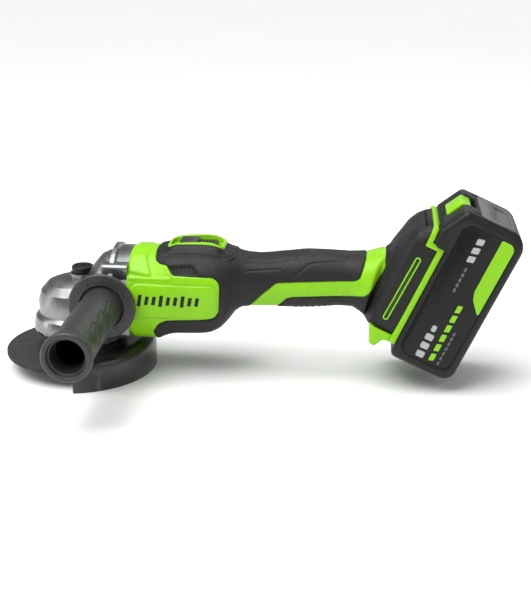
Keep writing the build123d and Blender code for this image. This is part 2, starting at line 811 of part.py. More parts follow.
def upright_slab(points, low, high):
    """Solid between two distances from the mid-plane, with an outline of (x, z) points."""
    with BuildPart() as slab:
        with BuildSketch(along_y(high)):
            with BuildLine():
                Polyline(*points, close=True)
            make_face()
        extrude(amount=high - low)
    return slab.part


def lime_zones():
    """Where the hard shell comes up through the soft skin: front collar, side panel and grip band."""
    panel = [
        (40.0, 0.0), (68.0, 0.0), (69.3, 36.2), (74.3, 43.9), (80.7, 47.1), (116.8, 49.3), (119.2, 51.5),
        (122.4, 59.8), (122.6, 74.5), (118.9, 81.2), (112.7, 83.0), (86.4, 83.7), (81.2, 90.4), (75.0, 90.6),
        (71.2, 92.1), (69.1, 98.4), (70.0, 120.0), (40.0, 120.0),
    ]
    band = [
        (140.0, 50.0), (154.0, 66.3), (160.0, 71.5), (165.0, 76.1), (225.0, 79.9), (229.6, 82.0),
        (233.8, 95.8), (235.0, 120.0), (249.0, 120.0), (248.3, 91.5), (239.8, 73.5), (233.1, 68.4),
        (223.9, 67.2), (177.5, 64.3), (172.8, 62.9), (162.0, 50.0),
    ]
    return upright_slab(panel, -60.0, 60.0) + upright_slab(band, -60.0, 60.0)


def rail_frame():
    """Hard frame round the battery slide, with a lobe below."""
    outline = [
        (-4.6, FOOT_BOTTOM - 0.5), (-0.3, FOOT_BOTTOM - 0.5), (-0.3, SHOULDER_U - 1.6),
        (-10.8, SHOULDER_U - 1.6), (-10.8, FOOT_TOP + 1.6), (-14.4, FOOT_TOP + 1.6),
        (-14.4, SHOULDER_U - 5.6), (-4.6, SHOULDER_U - 5.6),
    ]
    lobe = [
        (-24.0, FOOT_BOTTOM + 4.0), (-17.6, FOOT_BOTTOM - 9.4), (-13.0, FOOT_BOTTOM - 9.6),
        (-9.0, FOOT_BOTTOM - 1.6), (-0.3, FOOT_BOTTOM - 1.6), (-0.3, FOOT_BOTTOM + 4.0),
    ]
    with BuildPart() as frame:
        for points, half in ((outline, 35.6), (lobe, 33.4)):
            with BuildSketch(side_plane(-half)):
                with BuildLine():
                    Polyline(*points, close=True)
                make_face()
            extrude(amount=-2 * half)
    return frame.part


def switch_window():
    """Stepped opening in the top of the housing: a through slot and a rebate for the bezel."""
    with BuildPart() as window:
        with BuildSketch(at_z(84.0, SWITCH_X)):
            RectangleRounded(40.0, 18.6, 4.0)
        extrude(amount=40.0)
        with BuildSketch(at_z(BEZEL_Z, SWITCH_X)):
            RectangleRounded(45.1, 25.1, 6.0)
        extrude(amount=40.0)
    return window.part


def across(points, radius, half):
    """Round posts through the housing at (x, z) points, reaching the same distance each way."""
    with BuildPart() as posts:
        with BuildSketch(along_y(half)):
            with Locations(*points):
                Circle(radius)
        extrude(amount=2 * half)
    return posts.part


def motor_supports(hollow):
    """Ribs, neck screw bosses and closing posts inside the housing."""
    front_rib = ring(along_x(72.0), 60.0, STATOR_R + 0.05, 3.0).part
    rear_rib = ring(along_x(103.0), 60.0, STATOR_R + 0.05, 3.0).part
    rod_gap = upright_slab([(60.0, 85.8), (110.0, 85.8), (110.0, 120.0), (60.0, 120.0)], -4.5, 4.5)
    ribs = front_rib + rear_rib - rod_gap
    with BuildPart() as bosses:
        with BuildSketch(along_x(FLANGE_X)):
            with GridLocations(NECK_SCREW_Y, NECK_SCREW_Z, 2, 2):
                Circle(4.6)
        extrude(amount=14.0)
    return (ribs + bosses.part + across(CLOSING_SCREWS, 3.6, 50.0)) & hollow


def screw_holes():
    """Holes for the neck screws and the closing screws."""
    with BuildPart() as holes:
        with BuildSketch(along_x(FLANGE_X - 1.0)):
            with GridLocations(NECK_SCREW_Y, NECK_SCREW_Z, 2, 2):
                Circle(2.0)
        extrude(amount=14.0)
        with BuildSketch(along_y(50.0)):
            with Locations(*CLOSING_SCREWS):
                Circle(1.5)
        extrude(amount=58.0)
        with BuildSketch(along_y(50.0)):
            with Locations(*CLOSING_SCREWS):
                Circle(3.3)
        extrude(amount=50.0 - SCREW_HEAD_Y)
    return holes.part


def lead_holes():
    """Holes in the slide's front wall where the battery leads pass."""
    with BuildPart() as holes:
        with BuildSketch(face_plane(-26.0)):
            with Locations((LEAD_U, LEAD_Y), (LEAD_U, -LEAD_Y)):
                Circle(LEAD_R + 0.4)
        extrude(amount=9.0)
    return holes.part


def housing_whole():
    """Hard shell before it is parted down the middle."""
    outer = body_solid(0.0)
    foot = foot_solid(0.0, FOOT_BOTTOM, FOOT_TOP)
    core = body_solid(SKIN) + foot_solid(SKIN, FOOT_BOTTOM, FOOT_TOP - SKIN)
    hollow = body_solid(SKIN + WALL)
    foot_hollow = foot_solid(SKIN + WALL, FOOT_BOTTOM + 8.0, FOOT_TOP - 8.0)
    raised = (outer + foot) & lime_zones()
    channel_wall = slide_channel(FOOT_BOTTOM, FOOT_TOP + 20.0, 2.4)
    shell = core + raised - (hollow - channel_wall) - (foot_hollow - channel_wall)
    shell = shell + motor_supports(hollow) + rail_frame()
    shell = shell - slide_channel(FOOT_BOTTOM + 2.0, FOOT_TOP + 40.0, 0.3)
    return shell - switch_window() - screw_holes() - lead_holes()


def half_space(side):
    """Everything on one side of the mid-plane: side is -1 for the handle side, 1 for the other."""
    return upright_slab([(0.0, -50.0), (400.0, -50.0), (400.0, 250.0), (0.0, 250.0)],
                        min(0.0, 100.0 * side), max(0.0, 100.0 * side))


def housing_left():
    return kept_part(HOUSING & half_space(-1))


def housing_right():
    return kept_part(HOUSING & half_space(1))


def overmould(side):
    """Soft black skin over one half of the hard shell."""
    outer = body_solid(0.0) + foot_solid(0.0, FOOT_BOTTOM, FOOT_TOP)
    skin = outer - body_solid(SKIN) - foot_solid(SKIN, FOOT_BOTTOM, FOOT_TOP - SKIN)
    skin = skin - HOUSING - lime_zones() - switch_window() - screw_holes()
    skin = skin - slide_channel(FOOT_BOTTOM - 5.0, FOOT_TOP + 40.0, 2.4)
    return kept_part(skin & half_space(side))


def overmould_left():
    return overmould(-1)


def overmould_right():
    return overmould(1)


def closing_screws():
    """Screws that draw the two housing halves together, with their heads in the far half."""
    with BuildPart() as screws:
        with BuildSketch(along_y(SCREW_HEAD_Y + 2.2)):
            with Locations(*CLOSING_SCREWS):
                Circle(3.1)
        extrude(amount=2.2)
        with BuildSketch(along_y(SCREW_HEAD_Y)):
            with Locations(*CLOSING_SCREWS):
                Circle(1.48)
        extrude(amount=SCREW_HEAD_Y + 7.5)
        with BuildSketch(along_y(SCREW_HEAD_Y + 2.2)):
            with Locations(*CLOSING_SCREWS):
                RegularPolygon(1.4, 6)
        extrude(amount=1.2, mode=Mode.SUBTRACT)
    return screws


def rear_bearing_holder():
    """Plate that carries the rear bearing between the housing halves, pierced for air and leads."""
    plate = body_solid(SKIN + WALL + 0.05) & upright_slab(
        [(114.0, 0.0), (120.0, 0.0), (120.0, 120.0), (114.0, 120.0)], -50.0, 50.0)
    with BuildPart() as holder:
        add(plate)
        with BuildSketch(along_x(113.0)):
            Circle(9.5)
            with PolarLocations(17.5, 4):
                RectangleRounded(9.0, 16.0, 3.0)
            with Locations((0, 31.0)):
                Rectangle(9.0, 10.0)
        extrude(amount=8.0, mode=Mode.SUBTRACT)
    return holder


# ---------------------------------------------------------------- switch and electronics
def switch_bezel():
    """Arched frame round the slide switch."""
    with BuildPart() as bezel:
        with BuildSketch(at_z(BEZEL_Z + 0.05, SWITCH_X)):
            RectangleRounded(45.0, 25.0, 6.0)
            RectangleRounded(40.6, 20.0, 4.0, mode=Mode.SUBTRACT)
        extrude(amount=10.0)
        with BuildSketch(at_z(BEZEL_Z + 0.05, SWITCH_X)):
            RectangleRounded(45.0, 25.0, 6.0)
            RectangleRounded(38.0, 14.0, 4.0, mode=Mode.SUBTRACT)
        extrude(amount=1.2)
        with BuildSketch(Plane.XZ.offset(-20.0)):
            with BuildLine():
                Polyline((78.0, 100.4), (85.0, 103.0), (95.0, 104.2), (108.0, 104.6), (114.0, 104.2),
                         (124.0, 100.4), (124.0, 110.0), (78.0, 110.0), close=True)
            make_face()
        extrude(amount=40.0, mode=Mode.SUBTRACT)
    return bezel


def switch_slider():
    """Thumb slider with ribs, and the stem that reaches down to the rod."""
    with BuildPart() as slider:
        with BuildSketch(at_z(BEZEL_Z + 1.5, 102.2)):
            RectangleRounded(29.0, 18.6, 3.4)
        extrude(amount=2.6)
        with BuildSketch(at_z(BEZEL_Z + 3.0, 95.0)):
            RectangleRounded(14.0, 17.0, 2.0)
        extrude(amount=4.0)
        with BuildSketch(at_z(BEZEL_Z + 3.0, 109.5)):
            with GridLocations(2.6, 0, 5, 1):
                Rectangle(1.2, 15.0)
        extrude(amount=2.2)
        with BuildSketch(at_z(ROD_TOP, 100.0)):
            Rectangle(8.0, 6.0)
        extrude(amount=BEZEL_Z + 1.5 - ROD_TOP)
    return slider


def switch_rod():
    """Flat steel strip from the slider to the switch in the grip."""
    with BuildPart() as rod:
        with BuildSketch(at_z(ROD_TOP - 1.6, 123.5)):
            RectangleRounded(55.0, 6.0, 2.0)
        extrude(amount=1.6)
    return rod


def power_switch():
    """Snap switch in the front of the grip, under the rod."""
    with BuildPart() as switch:
        with BuildSketch(at_z(66.0, 151.0)):
            RectangleRounded(20.0, 12.0, 1.0)
        extrude(amount=17.5)
        with BuildSketch(at_z(83.5, 146.0)):
            RectangleRounded(4.0, 4.0, 0.8)
        extrude(amount=2.2)
    return switch


def controller_heatsink():
    """Finned aluminium block under the power stage."""
    with BuildPart() as sink:
        with BuildSketch(along_x(168.0, 0, 66.4)):
            Rectangle(24.0, 6.8)
            with Locations((0, -1.6)):
                with GridLocations(4.0, 0, 6, 1):
                    Rectangle(2.2, 3.8, mode=Mode.SUBTRACT)
        extrude(amount=50.0)
    return sink


def controller_board():
    """Motor controller: board, two capacitors and a row of power transistors."""
    with BuildPart() as board:
        with BuildSketch(at_z(69.85, 194.0)):
            RectangleRounded(56.0, 26.0, 2.0)
        extrude(amount=1.6)
        with BuildSketch(at_z(71.45, 210.0)):
            with GridLocations(0, 11.5, 1, 2):
                Circle(4.8)
        extrude(amount=11.0)
        with BuildSketch(at_z(71.45, 186.0)):
            with GridLocations(9.0, 12.0, 3, 2):
                Rectangle(6.5, 8.0)
        extrude(amount=2.4)
    return board


def lead(points, bend, radius):
    """Round lead along straight runs joined by arcs."""
    with BuildPart() as cable:
        with BuildLine() as path:
            FilletPolyline(*points, radius=bend)
        with BuildSketch(Plane(origin=path.line @ 0, z_dir=path.line % 0)):
            Circle(radius)
        sweep()
    return cable.part


def group(shapes):
    """Separate solids that share one piece."""
    with BuildPart() as piece:
        for shape in shapes:
            add(shape)
    return piece


def phase_leads():
    """Three leads from the windings to the controller."""
    return group([
        lead([(112.4, y, 43.6), (121.5, y, 45.4), (137.0, y, 59.8), (152.0, y, 60.6), (161.0, y, 63.2),
              (167.7, y, 64.6)], 3.0, 1.2)
        for y in (-5.0, 0.0, 5.0)])


def battery_leads():
    """Supply and return leads from the foot's terminals to the controller."""
    start = tilted(LEAD_U, -18.5)
    bend = tilted(LEAD_U, -24.5)
    return group([
        lead([(start.X, y, start.Z), (bend.X, y, bend.Z), (231.0, y, 66.0), (218.1, y, 67.0)], 3.5, LEAD_R)
        for y in (-LEAD_Y, LEAD_Y)])


def switch_leads():
    return group([
        lead([(161.1, y, 75.0), (169.0, y, 75.0), (169.0, y, 71.5)], 2.0, 0.7) for y in (-3.5, 3.5)])


def tool_terminal_block():
    """Insulator at the foot of the slide, with its four blades let in."""
    with BuildPart() as block:
        with BuildSketch(slide_plane(FOOT_BOTTOM + 2.1)):
            with Locations((-14.4, 0)):
                RectangleRounded(8.0, 42.0, 1.0)
        extrude(amount=BLADE_U - FOOT_BOTTOM - 2.1)
    return block


def tool_terminals():
    """Four flat blades that the battery's clips slide on to."""
    with BuildPart() as blades:
        with BuildSketch(slide_plane(BLADE_U + 0.01)):
            with Locations((BLADE_V, 0)):
                with GridLocations(0, CLIP_PITCH, 1, 4):
                    Rectangle(0.8, 6.0)
        extrude(amount=11.0)
    return blades


# ---------------------------------------------------------------- battery
def battery_block():
    """Outer form of the whole battery without its tongue."""
    with BuildPart() as block:
        with BuildSketch(side_plane(-BATTERY_HALF)):
            with BuildLine():
                Polyline((0.0, BATTERY_BOTTOM + 4.0), (4.0, BATTERY_BOTTOM),
                         (BATTERY_T - 9.0, BATTERY_BOTTOM),
                         (BATTERY_T - 2.6, BATTERY_BOTTOM + 2.6), (BATTERY_T, BATTERY_BOTTOM + 9.0),
                         (BATTERY_T, BATTERY_TOP - 12.0), (BATTERY_T - 3.0, BATTERY_TOP - 4.0),
                         (BATTERY_T - 11.0, BATTERY_TOP), (0.5, BATTERY_TOP), (-10.4, SLOPE_U),
                         (-10.4, SHOULDER_U), (0.0, SHOULDER_U), close=True)
            make_face()
        extrude(amount=-2 * BATTERY_HALF)
        for side in (-1, 1):
            with BuildSketch(slide_plane(BATTERY_BOTTOM - 1.0)):
                with BuildLine():
                    Polyline((BATTERY_T + 1, side * 30.5), (BATTERY_T, side * 30.5),
                             (BATTERY_T - 2, side * 35.5), (BATTERY_T - 7.0, side * BATTERY_HALF),
                             (BATTERY_T - 7.0, side * 40.0), (BATTERY_T + 1, side * 40.0), close=True)
                make_face()
            extrude(amount=140.0, mode=Mode.SUBTRACT)
    return block.part


def button_pocket():
    """Recess in the battery's head that the release button moves in."""
    with BuildPart() as pocket:
        with BuildSketch(side_plane(-13.8)):
            with BuildLine():
                Polyline((-14.0, 240.8), (6.2, 240.8), (6.2, 248.8), (10.6, 248.8), (10.6, 262.0),
                         (-14.0, 262.0), close=True)
            make_face()
        extrude(amount=-27.6)
    return pocket.part


def seam_front():
    """Everything in front of the joint between the battery's base and its shell."""
    with BuildPart() as front:
        with BuildSketch(side_plane(-60.0)):
            with BuildLine():
                Polyline((-30.0, 100.0), (SEAM_V, 100.0), (SEAM_V, 280.0), (-30.0, 280.0), close=True)
            make_face()
        extrude(amount=-120.0)
    return front.part


def battery_base():
    """Front plate of the battery with the tongue that slides in the foot and the stepped head."""
    tongue = slide_channel(TONGUE_BOTTOM, SLOPE_U, -0.3)
    with BuildPart() as slope:
        with BuildSketch(side_plane(-40.0)):
            with BuildLine():
                Polyline((-10.4, SLOPE_U), (-19.4, SLOPE_U - 16.6), (-30.0, SLOPE_U - 16.6),
                         (-30.0, SLOPE_U + 5.0), (-10.4, SLOPE_U + 5.0), close=True)
            make_face()
        extrude(amount=-80.0)
    with BuildPart() as hollows:
        with BuildSketch(slide_plane(TONGUE_BOTTOM - 1.0)):
            with Locations((BLADE_V, 0)):
                with GridLocations(0, CLIP_PITCH, 1, 4):
                    Rectangle(5.2, 7.8)
        extrude(amount=19.0)
        with BuildSketch(slide_plane(168.0)):
            with Locations((-6.5, 0)):
                Rectangle(19.0, 34.0)
        extrude(amount=55.0)
    whole = (battery_block() & seam_front()) + (tongue - slope.part)
    return kept_part(whole - hollows.part - button_pocket())


def battery_shell():
    """Deep tub that holds the cells."""
    with BuildPart() as hollows:
        with BuildSketch(slide_plane(BATTERY_BOTTOM + 2.8)):
            with Locations(((SEAM_V + BATTERY_T - 2.6) / 2, 0)):
                RectangleRounded(BATTERY_T - 2.6 - SEAM_V, 2 * BATTERY_HALF - 5.2, 4.0)
                with Locations((-10.0, 0)):
                    Rectangle(BATTERY_T - 22.6 - SEAM_V, 2 * BATTERY_HALF - 5.2)
        extrude(amount=BATTERY_TOP - BATTERY_BOTTOM - 8.4)
        for side in (-1, 1):
            with BuildSketch(side_plane(side * (BATTERY_HALF - LABEL_T))):
                with Locations(LABEL_CENTRE):
                    RectangleRounded(*LABEL_SIZE, 8.0)
            extrude(amount=side * -2.0 * LABEL_T)
        with BuildSketch(slide_plane(BATTERY_TOP - CAP_T)):
            with Locations((CAP_V, 0)):
                RectangleRounded(*CAP_SIZE, 5.0)
        extrude(amount=10.0)
    return kept_part(battery_block() - seam_front() - hollows.part - button_pocket())


def battery_label(side):
    """Printed plate let into one side of the battery."""
    with BuildPart() as label:
        with BuildSketch(side_plane(side * (BATTERY_HALF - LABEL_T))):
            with Locations(LABEL_CENTRE):
                RectangleRounded(LABEL_SIZE[0] - 0.1, LABEL_SIZE[1] - 0.1, 7.9)
        extrude(amount=side * -(LABEL_T - 0.05))
    return label


def battery_label_left():
    return battery_label(-1)


def battery_label_right():
    return battery_label(1)


def battery_end_cap():
    """Grey cap on the battery's top end, with a finger recess."""
    with BuildPart() as cap:
        with BuildSketch(slide_plane(BATTERY_TOP - CAP_T + 0.02)):
            with Locations((CAP_V, 0)):
                RectangleRounded(CAP_SIZE[0] - 0.1, CAP_SIZE[1] - 0.1, 4.9)
        extrude(amount=CAP_T - 0.05)
        with BuildSketch(slide_plane(BATTERY_TOP - 1.2)):
            with Locations((CAP_V + 5.0, 0)):
                RectangleRounded(12.0, 40.0, 4.0)
        extrude(amount=3.0, mode=Mode.SUBTRACT)
    return cap


def cell_places():
    """Centres of the twelve cells in (v, u)."""
    return [(v, CELL_FIRST_U + CELL_PITCH * index) for v in CELL_ROWS for index in range(6)]


def battery_cells():
    with BuildPart() as cells:
        with BuildSketch(side_plane(-CELL_LENGTH / 2)):
            with Locations(*cell_places()):
                Circle(CELL_R)
        extrude(amount=-CELL_LENGTH)
        with BuildSketch(side_plane(CELL_LENGTH / 2)):
            with Locations(*cell_places()):
                Circle(3.0)
        extrude(amount=-0.8)
    return cells


def cell_holders():
    """Two moulded plates that space the cells."""
    with BuildPart() as holders:
        for y in (-26.0, 20.0):
            with BuildSketch(side_plane(y)):
                with Locations(((CELL_ROWS[0] + CELL_ROWS[1]) / 2, CELL_FIRST_U + 2.5 * CELL_PITCH)):
                    Rectangle(40.0, 6 * CELL_PITCH)
                with Locations(*cell_places()):
                    Circle(CELL_R + 0.05, mode=Mode.SUBTRACT)
            extrude(amount=-6.0)
    return holders


def battery_board():
    """Protection board inside the tongue."""
    with BuildPart() as board:
        with BuildSketch(face_plane(-9.0)):
            with Locations((195.0, 0)):
                Rectangle(50.0, 31.0)
        extrude(amount=1.6)
        with BuildSketch(face_plane(-7.4)):
            with Locations((185.0, 0)):
                with GridLocations(14.0, 12.0, 2, 2):
                    Rectangle(7.0, 7.0)
        extrude(amount=1.8)
    return board


def battery_terminals():
    """Four sprung clips that grip the tool's blades."""
    with BuildPart() as clips:
        with BuildSketch(slide_plane(TONGUE_BOTTOM + 1.0)):
            with Locations((BLADE_V, 0)):
                with GridLocations(0, CLIP_PITCH, 1, 4):
                    Rectangle(4.6, 7.2)
        extrude(amount=15.5)
        with BuildSketch(slide_plane(TONGUE_BOTTOM)):
            with Locations((BLADE_V, 0)):
                with GridLocations(0, CLIP_PITCH, 1, 4):
                    Rectangle(1.3, 8.0)
        extrude(amount=13.0, mode=Mode.SUBTRACT)
    return clips


def release_button():
    """Latch button in the battery's head."""
    with BuildPart() as button:
        with BuildSketch(side_plane(-13.3)):
            with BuildLine():
                Polyline((-8.8, 241.6), (-1.4, 255.2), (6.6, 255.2), (6.6, 249.6), (2.0, 249.6), (2.0, 241.6),
                         close=True)
            make_face()
        extrude(amount=-26.6)
    return button


def release_spring():
    """Spring behind the release button."""
    return coil(Plane(origin=tilted(245.2, 2.4), x_dir=U, z_dir=V), 2.2, 0.3, 1.0, 3.0)


PIECES = [
    cutting_wheel, inner_flange, clamp_nut, spindle, bevel_gear, bevel_pinion,
    spindle_bearing_lower, spindle_bearing_upper, dust_seal, bearing_cover, bearing_cover_screws,
    gear_case, gear_case_screws, spindle_lock_button, lock_pin, lock_spring,
    guard, guard_clamp, guard_clamp_screw, side_handle, handle_sleeve, handle_stud,
    rotor_shaft, rotor_core, rotor_magnets, stator_core, stator_windings, motor_bearing_front,
    motor_bearing_rear, cooling_fan, air_baffle, position_board, rear_bearing_holder,
    housing_left, housing_right, overmould_left, overmould_right, closing_screws,
    switch_bezel, switch_slider, switch_rod, power_switch, controller_heatsink, controller_board,
    phase_leads, battery_leads, switch_leads, tool_terminal_block, tool_terminals,
    battery_base, battery_shell, battery_label_left, battery_label_right, battery_end_cap,
    battery_cells, cell_holders, battery_board, battery_terminals, release_button, release_spring,
]

HOUSING = housing_whole()
os.makedirs("parts", exist_ok=True)
for make in PIECES:
    piece = make()
    piece.part.label = make.__name__
    export_step(piece.part, f"parts/{make.__name__}.step")
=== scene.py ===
"""Looks for the cordless angle grinder: detailed meshes and procedural materials round the CAD frame."""
from math import cos, pi, radians, sin

import bmesh
import bpy
import numpy as np
from mathutils import Matrix, Vector


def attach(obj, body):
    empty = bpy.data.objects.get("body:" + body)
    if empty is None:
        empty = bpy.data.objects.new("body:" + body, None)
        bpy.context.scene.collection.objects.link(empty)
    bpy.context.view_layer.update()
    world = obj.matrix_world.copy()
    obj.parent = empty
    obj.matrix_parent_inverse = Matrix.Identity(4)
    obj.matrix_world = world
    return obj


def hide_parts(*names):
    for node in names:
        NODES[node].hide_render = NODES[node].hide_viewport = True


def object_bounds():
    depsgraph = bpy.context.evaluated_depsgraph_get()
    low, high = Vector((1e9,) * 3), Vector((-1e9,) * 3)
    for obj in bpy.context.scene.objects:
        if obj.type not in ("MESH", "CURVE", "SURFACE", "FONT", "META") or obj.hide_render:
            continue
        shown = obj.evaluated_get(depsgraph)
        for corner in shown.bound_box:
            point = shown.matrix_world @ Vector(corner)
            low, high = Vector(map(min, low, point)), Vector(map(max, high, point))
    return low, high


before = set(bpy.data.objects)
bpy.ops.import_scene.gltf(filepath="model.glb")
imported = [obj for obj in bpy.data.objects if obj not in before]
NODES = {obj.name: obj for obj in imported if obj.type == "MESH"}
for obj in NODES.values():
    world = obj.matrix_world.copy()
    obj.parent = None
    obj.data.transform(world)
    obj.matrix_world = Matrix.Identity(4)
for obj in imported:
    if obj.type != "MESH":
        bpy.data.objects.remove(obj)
CAD_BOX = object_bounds()

# ---------------------------------------------------------------- driving dimensions, millimetres
MM = 0.001
MOTOR_Z = 60.0            # height of the motor axis
TILT = radians(24.4)      # lean of the battery from upright
U = np.array([sin(TILT), 0.0, cos(TILT)])
V = np.array([cos(TILT), 0.0, -sin(TILT)])
FACE_V = 220.06           # the battery's front face, along V
BATTERY_BOTTOM = 128.5    # along U
BATTERY_TOP = 256.0
BATTERY_T = 52.2          # thickness and half width
BATTERY_HALF = 37.5
SHOULDER_U = 224.5        # where the battery's head steps forward over the foot
SLOPE_U = 235.7           # where its sloping face begins
SEAM_V = 2.8              # joint between the battery's base and its shell
FOOT_HALF = 35.6          # half width of the lime rail frame
RAIL_TOP = 234.6
SLOT_TOP = 219.0          # where the slot opens into the foot's head, along U
HANDLE_X = 32.5
HANDLE_Z = 60.5
SWITCH_X = 101.0          # middle of the switch opening
COVER_BOTTOM = 24.0       # underside of the bearing cover


# ---------------------------------------------------------------- small maths
def tilted(u, v, y=0.0):
    """Point of the battery's tilted frame in the main frame."""
    return U * u + V * (v + FACE_V) + np.array([0.0, y, 0.0])


def to_tilted(x, z):
    """(u, v) of points given by x and z."""
    return x * U[0] + z * U[2], x * V[0] + z * V[2] - FACE_V


def step(value, low, high):
    """Smooth step from 0 at low to 1 at high."""
    t = np.clip((value - low) / (high - low), 0.0, 1.0)
    return t * t * (3.0 - 2.0 * t)


def groove(distance, width):
    """Rounded groove profile, 1 in the middle of the line."""
    return np.exp(-(distance / width) ** 2)


def polygon_distance(px, pz, corners):
    """Signed distance to a closed outline, negative inside."""
    corners = np.asarray(corners, float)
    best = np.full(px.shape, 1e9)
    inside = np.zeros(px.shape, bool)
    for (ax, az), (bx, bz) in zip(corners, np.roll(corners, -1, axis=0)):
        ex, ez = bx - ax, bz - az
        t = np.clip(((px - ax) * ex + (pz - az) * ez) / (ex * ex + ez * ez), 0.0, 1.0)
        best = np.minimum(best, np.hypot(px - ax - t * ex, pz - az - t * ez))
        crosses = ((az > pz) != (bz > pz)) & (px < ax + (pz - az) * ex / (ez if ez else 1e-9))
        inside ^= crosses
    return np.where(inside, -best, best)


def box_distance(px, pz, centre, half, corner):
    """Signed distance to a rounded rectangle."""
    qx = np.abs(px - centre[0]) - half[0] + corner
    qz = np.abs(pz - centre[1]) - half[1] + corner
    outside = np.hypot(np.maximum(qx, 0.0), np.maximum(qz, 0.0))
    return outside + np.minimum(np.maximum(qx, qz), 0.0) - corner


def line_distance(px, pz, points):
    """Distance to an open chain of straight runs."""
    best = np.full(px.shape, 1e9)
    for (ax, az), (bx, bz) in zip(points[:-1], points[1:]):
        ex, ez = bx - ax, bz - az
        t = np.clip(((px - ax) * ex + (pz - az) * ez) / (ex * ex + ez * ez), 0.0, 1.0)
        best = np.minimum(best, np.hypot(px - ax - t * ex, pz - az - t * ez))
    return best


def smooth_path(values, t):
    """Monotone cubic through equally spaced rows of values, at parameters t."""
    values = np.asarray(values, float)
    count = len(values)
    gaps = np.diff(values, axis=0)
    slopes = np.zeros_like(values)
    same = gaps[1:] * gaps[:-1] > 0
    mean = 2.0 * gaps[1:] * gaps[:-1] / np.where(same, gaps[1:] + gaps[:-1], 1.0)
    slopes[1:-1] = np.where(same, mean, 0.0)
    slopes[0], slopes[-1] = gaps[0], gaps[-1]
    i = np.clip(t.astype(int), 0, count - 2)
    f = (t - i)[:, None]
    a, b, ma, mb = values[i], values[i + 1], slopes[i], slopes[i + 1]
    return ((1 + 2 * f) * (1 - f) ** 2 * a + f * (1 - f) ** 2 * ma
            + f * f * (3 - 2 * f) * b + f * f * (f - 1) * mb)


# ---------------------------------------------------------------- mesh helpers
def new_mesh(name, points, faces, material, smooth=True):
    """Mesh object from points in millimetres."""
    mesh = bpy.data.meshes.new(name)
    mesh.from_pydata((np.asarray(points, float) * MM).tolist(), [], [list(map(int, f)) for f in faces])
    mesh.validate()
    mesh.update()
    obj = bpy.data.objects.new(name, mesh)
    bpy.context.scene.collection.objects.link(obj)
    if smooth:
        mesh.polygons.foreach_set("use_smooth", [True] * len(mesh.polygons))
    mesh.materials.append(material)
    return obj


def apply_modifiers(obj):
    """Bake the modifier stack into the mesh."""
    bpy.context.view_layer.update()
    evaluated = obj.evaluated_get(bpy.context.evaluated_depsgraph_get())
    mesh = bpy.data.meshes.new_from_object(evaluated)
    obj.modifiers.clear()
    obj.data = mesh
    return obj


def bevelled(obj, width, segments=3, angle=30.0, clamp=True):
    """Round the edges of a mesh and keep its flats flat."""
    bevel = obj.modifiers.new("round", "BEVEL")
    bevel.use_clamp_overlap = clamp
    bevel.width = width * MM
    bevel.segments = segments
    bevel.limit_method = "ANGLE"
    bevel.angle_limit = radians(angle)
    bevel.harden_normals = True
    return apply_modifiers(obj)


def cut(obj, cutters, operation="DIFFERENCE"):
    """Boolean with closed helper meshes, which are removed afterwards."""
    for cutter in cutters:
        modifier = obj.modifiers.new("cut", "BOOLEAN")
        modifier.operation = operation
        modifier.object = cutter
        modifier.solver = "EXACT"
    apply_modifiers(obj)
    for cutter in cutters:
        bpy.data.objects.remove(cutter)
    return obj


def prism(name, outline, to_point, low, high, material=None):
    """Closed solid: a flat outline carried between two distances by to_point(a, b, distance)."""
    count = len(outline)
    points = [to_point(a, b, low) for a, b in outline] + [to_point(a, b, high) for a, b in outline]
    faces = [list(range(count))[::-1], list(range(count, 2 * count))]
    faces += [[i, (i + 1) % count, count + (i + 1) % count, count + i] for i in range(count)]
    obj = new_mesh(name, points, faces, material, smooth=False)
    tidy_normals(obj)
    return obj


def tidy_normals(obj):
    mesh = bmesh.new()
    mesh.from_mesh(obj.data)
    bmesh.ops.recalc_face_normals(mesh, faces=mesh.faces)
    mesh.to_mesh(obj.data)
    mesh.free()


def rounded(outline, radii, pieces=6):
    """Outline with its corners rounded by arcs."""
    points = [np.array(p, float) for p in outline]
    if not isinstance(radii, (list, tuple)):
        radii = [radii] * len(points)
    result = []
    for i, corner in enumerate(points):
        before = points[i - 1] - corner
        after = points[(i + 1) % len(points)] - corner
        la, lb = np.linalg.norm(before), np.linalg.norm(after)
        before, after = before / la, after / lb
        half = np.arccos(np.clip(before @ after, -1, 1)) / 2
        reach = min(radii[i] / np.tan(half), 0.48 * la, 0.48 * lb) if radii[i] > 0 else 0.0
        if reach < 1e-6:
            result.append(tuple(corner))
            continue
        radius = reach * np.tan(half)
        centre = corner + (before + after) / np.linalg.norm(before + after) * radius / np.sin(half)
        start = corner + before * reach - centre
        end = corner + after * reach - centre
        turn = np.arctan2(start[0] * end[1] - start[1] * end[0], start @ end)
        for k in range(pieces + 1):
            a = turn * k / pieces
            result.append((centre[0] + start[0] * cos(a) - start[1] * sin(a),
                           centre[1] + start[0] * sin(a) + start[1] * cos(a)))
    return result


def rectangle(ca, cb, la, lb, radius=0.0, pieces=5):
    """Rounded rectangle outline about a centre."""
    corners = [(ca - la / 2, cb - lb / 2), (ca + la / 2, cb - lb / 2), (ca + la / 2, cb + lb / 2),
               (ca - la / 2, cb + lb / 2)]
    return rounded(corners, radius, pieces) if radius else corners


def sharp_by_angle(obj, degrees_limit=32.0):
    """Smooth shading that breaks at real edges."""
    obj.data.polygons.foreach_set("use_smooth", [True] * len(obj.data.polygons))
    mesh = bmesh.new()
    mesh.from_mesh(obj.data)
    limit = radians(degrees_limit)
    for edge in mesh.edges:
        edge.smooth = len(edge.link_faces) != 2 or edge.calc_face_angle(0.0) < limit
    mesh.to_mesh(obj.data)
    mesh.free()
    return obj


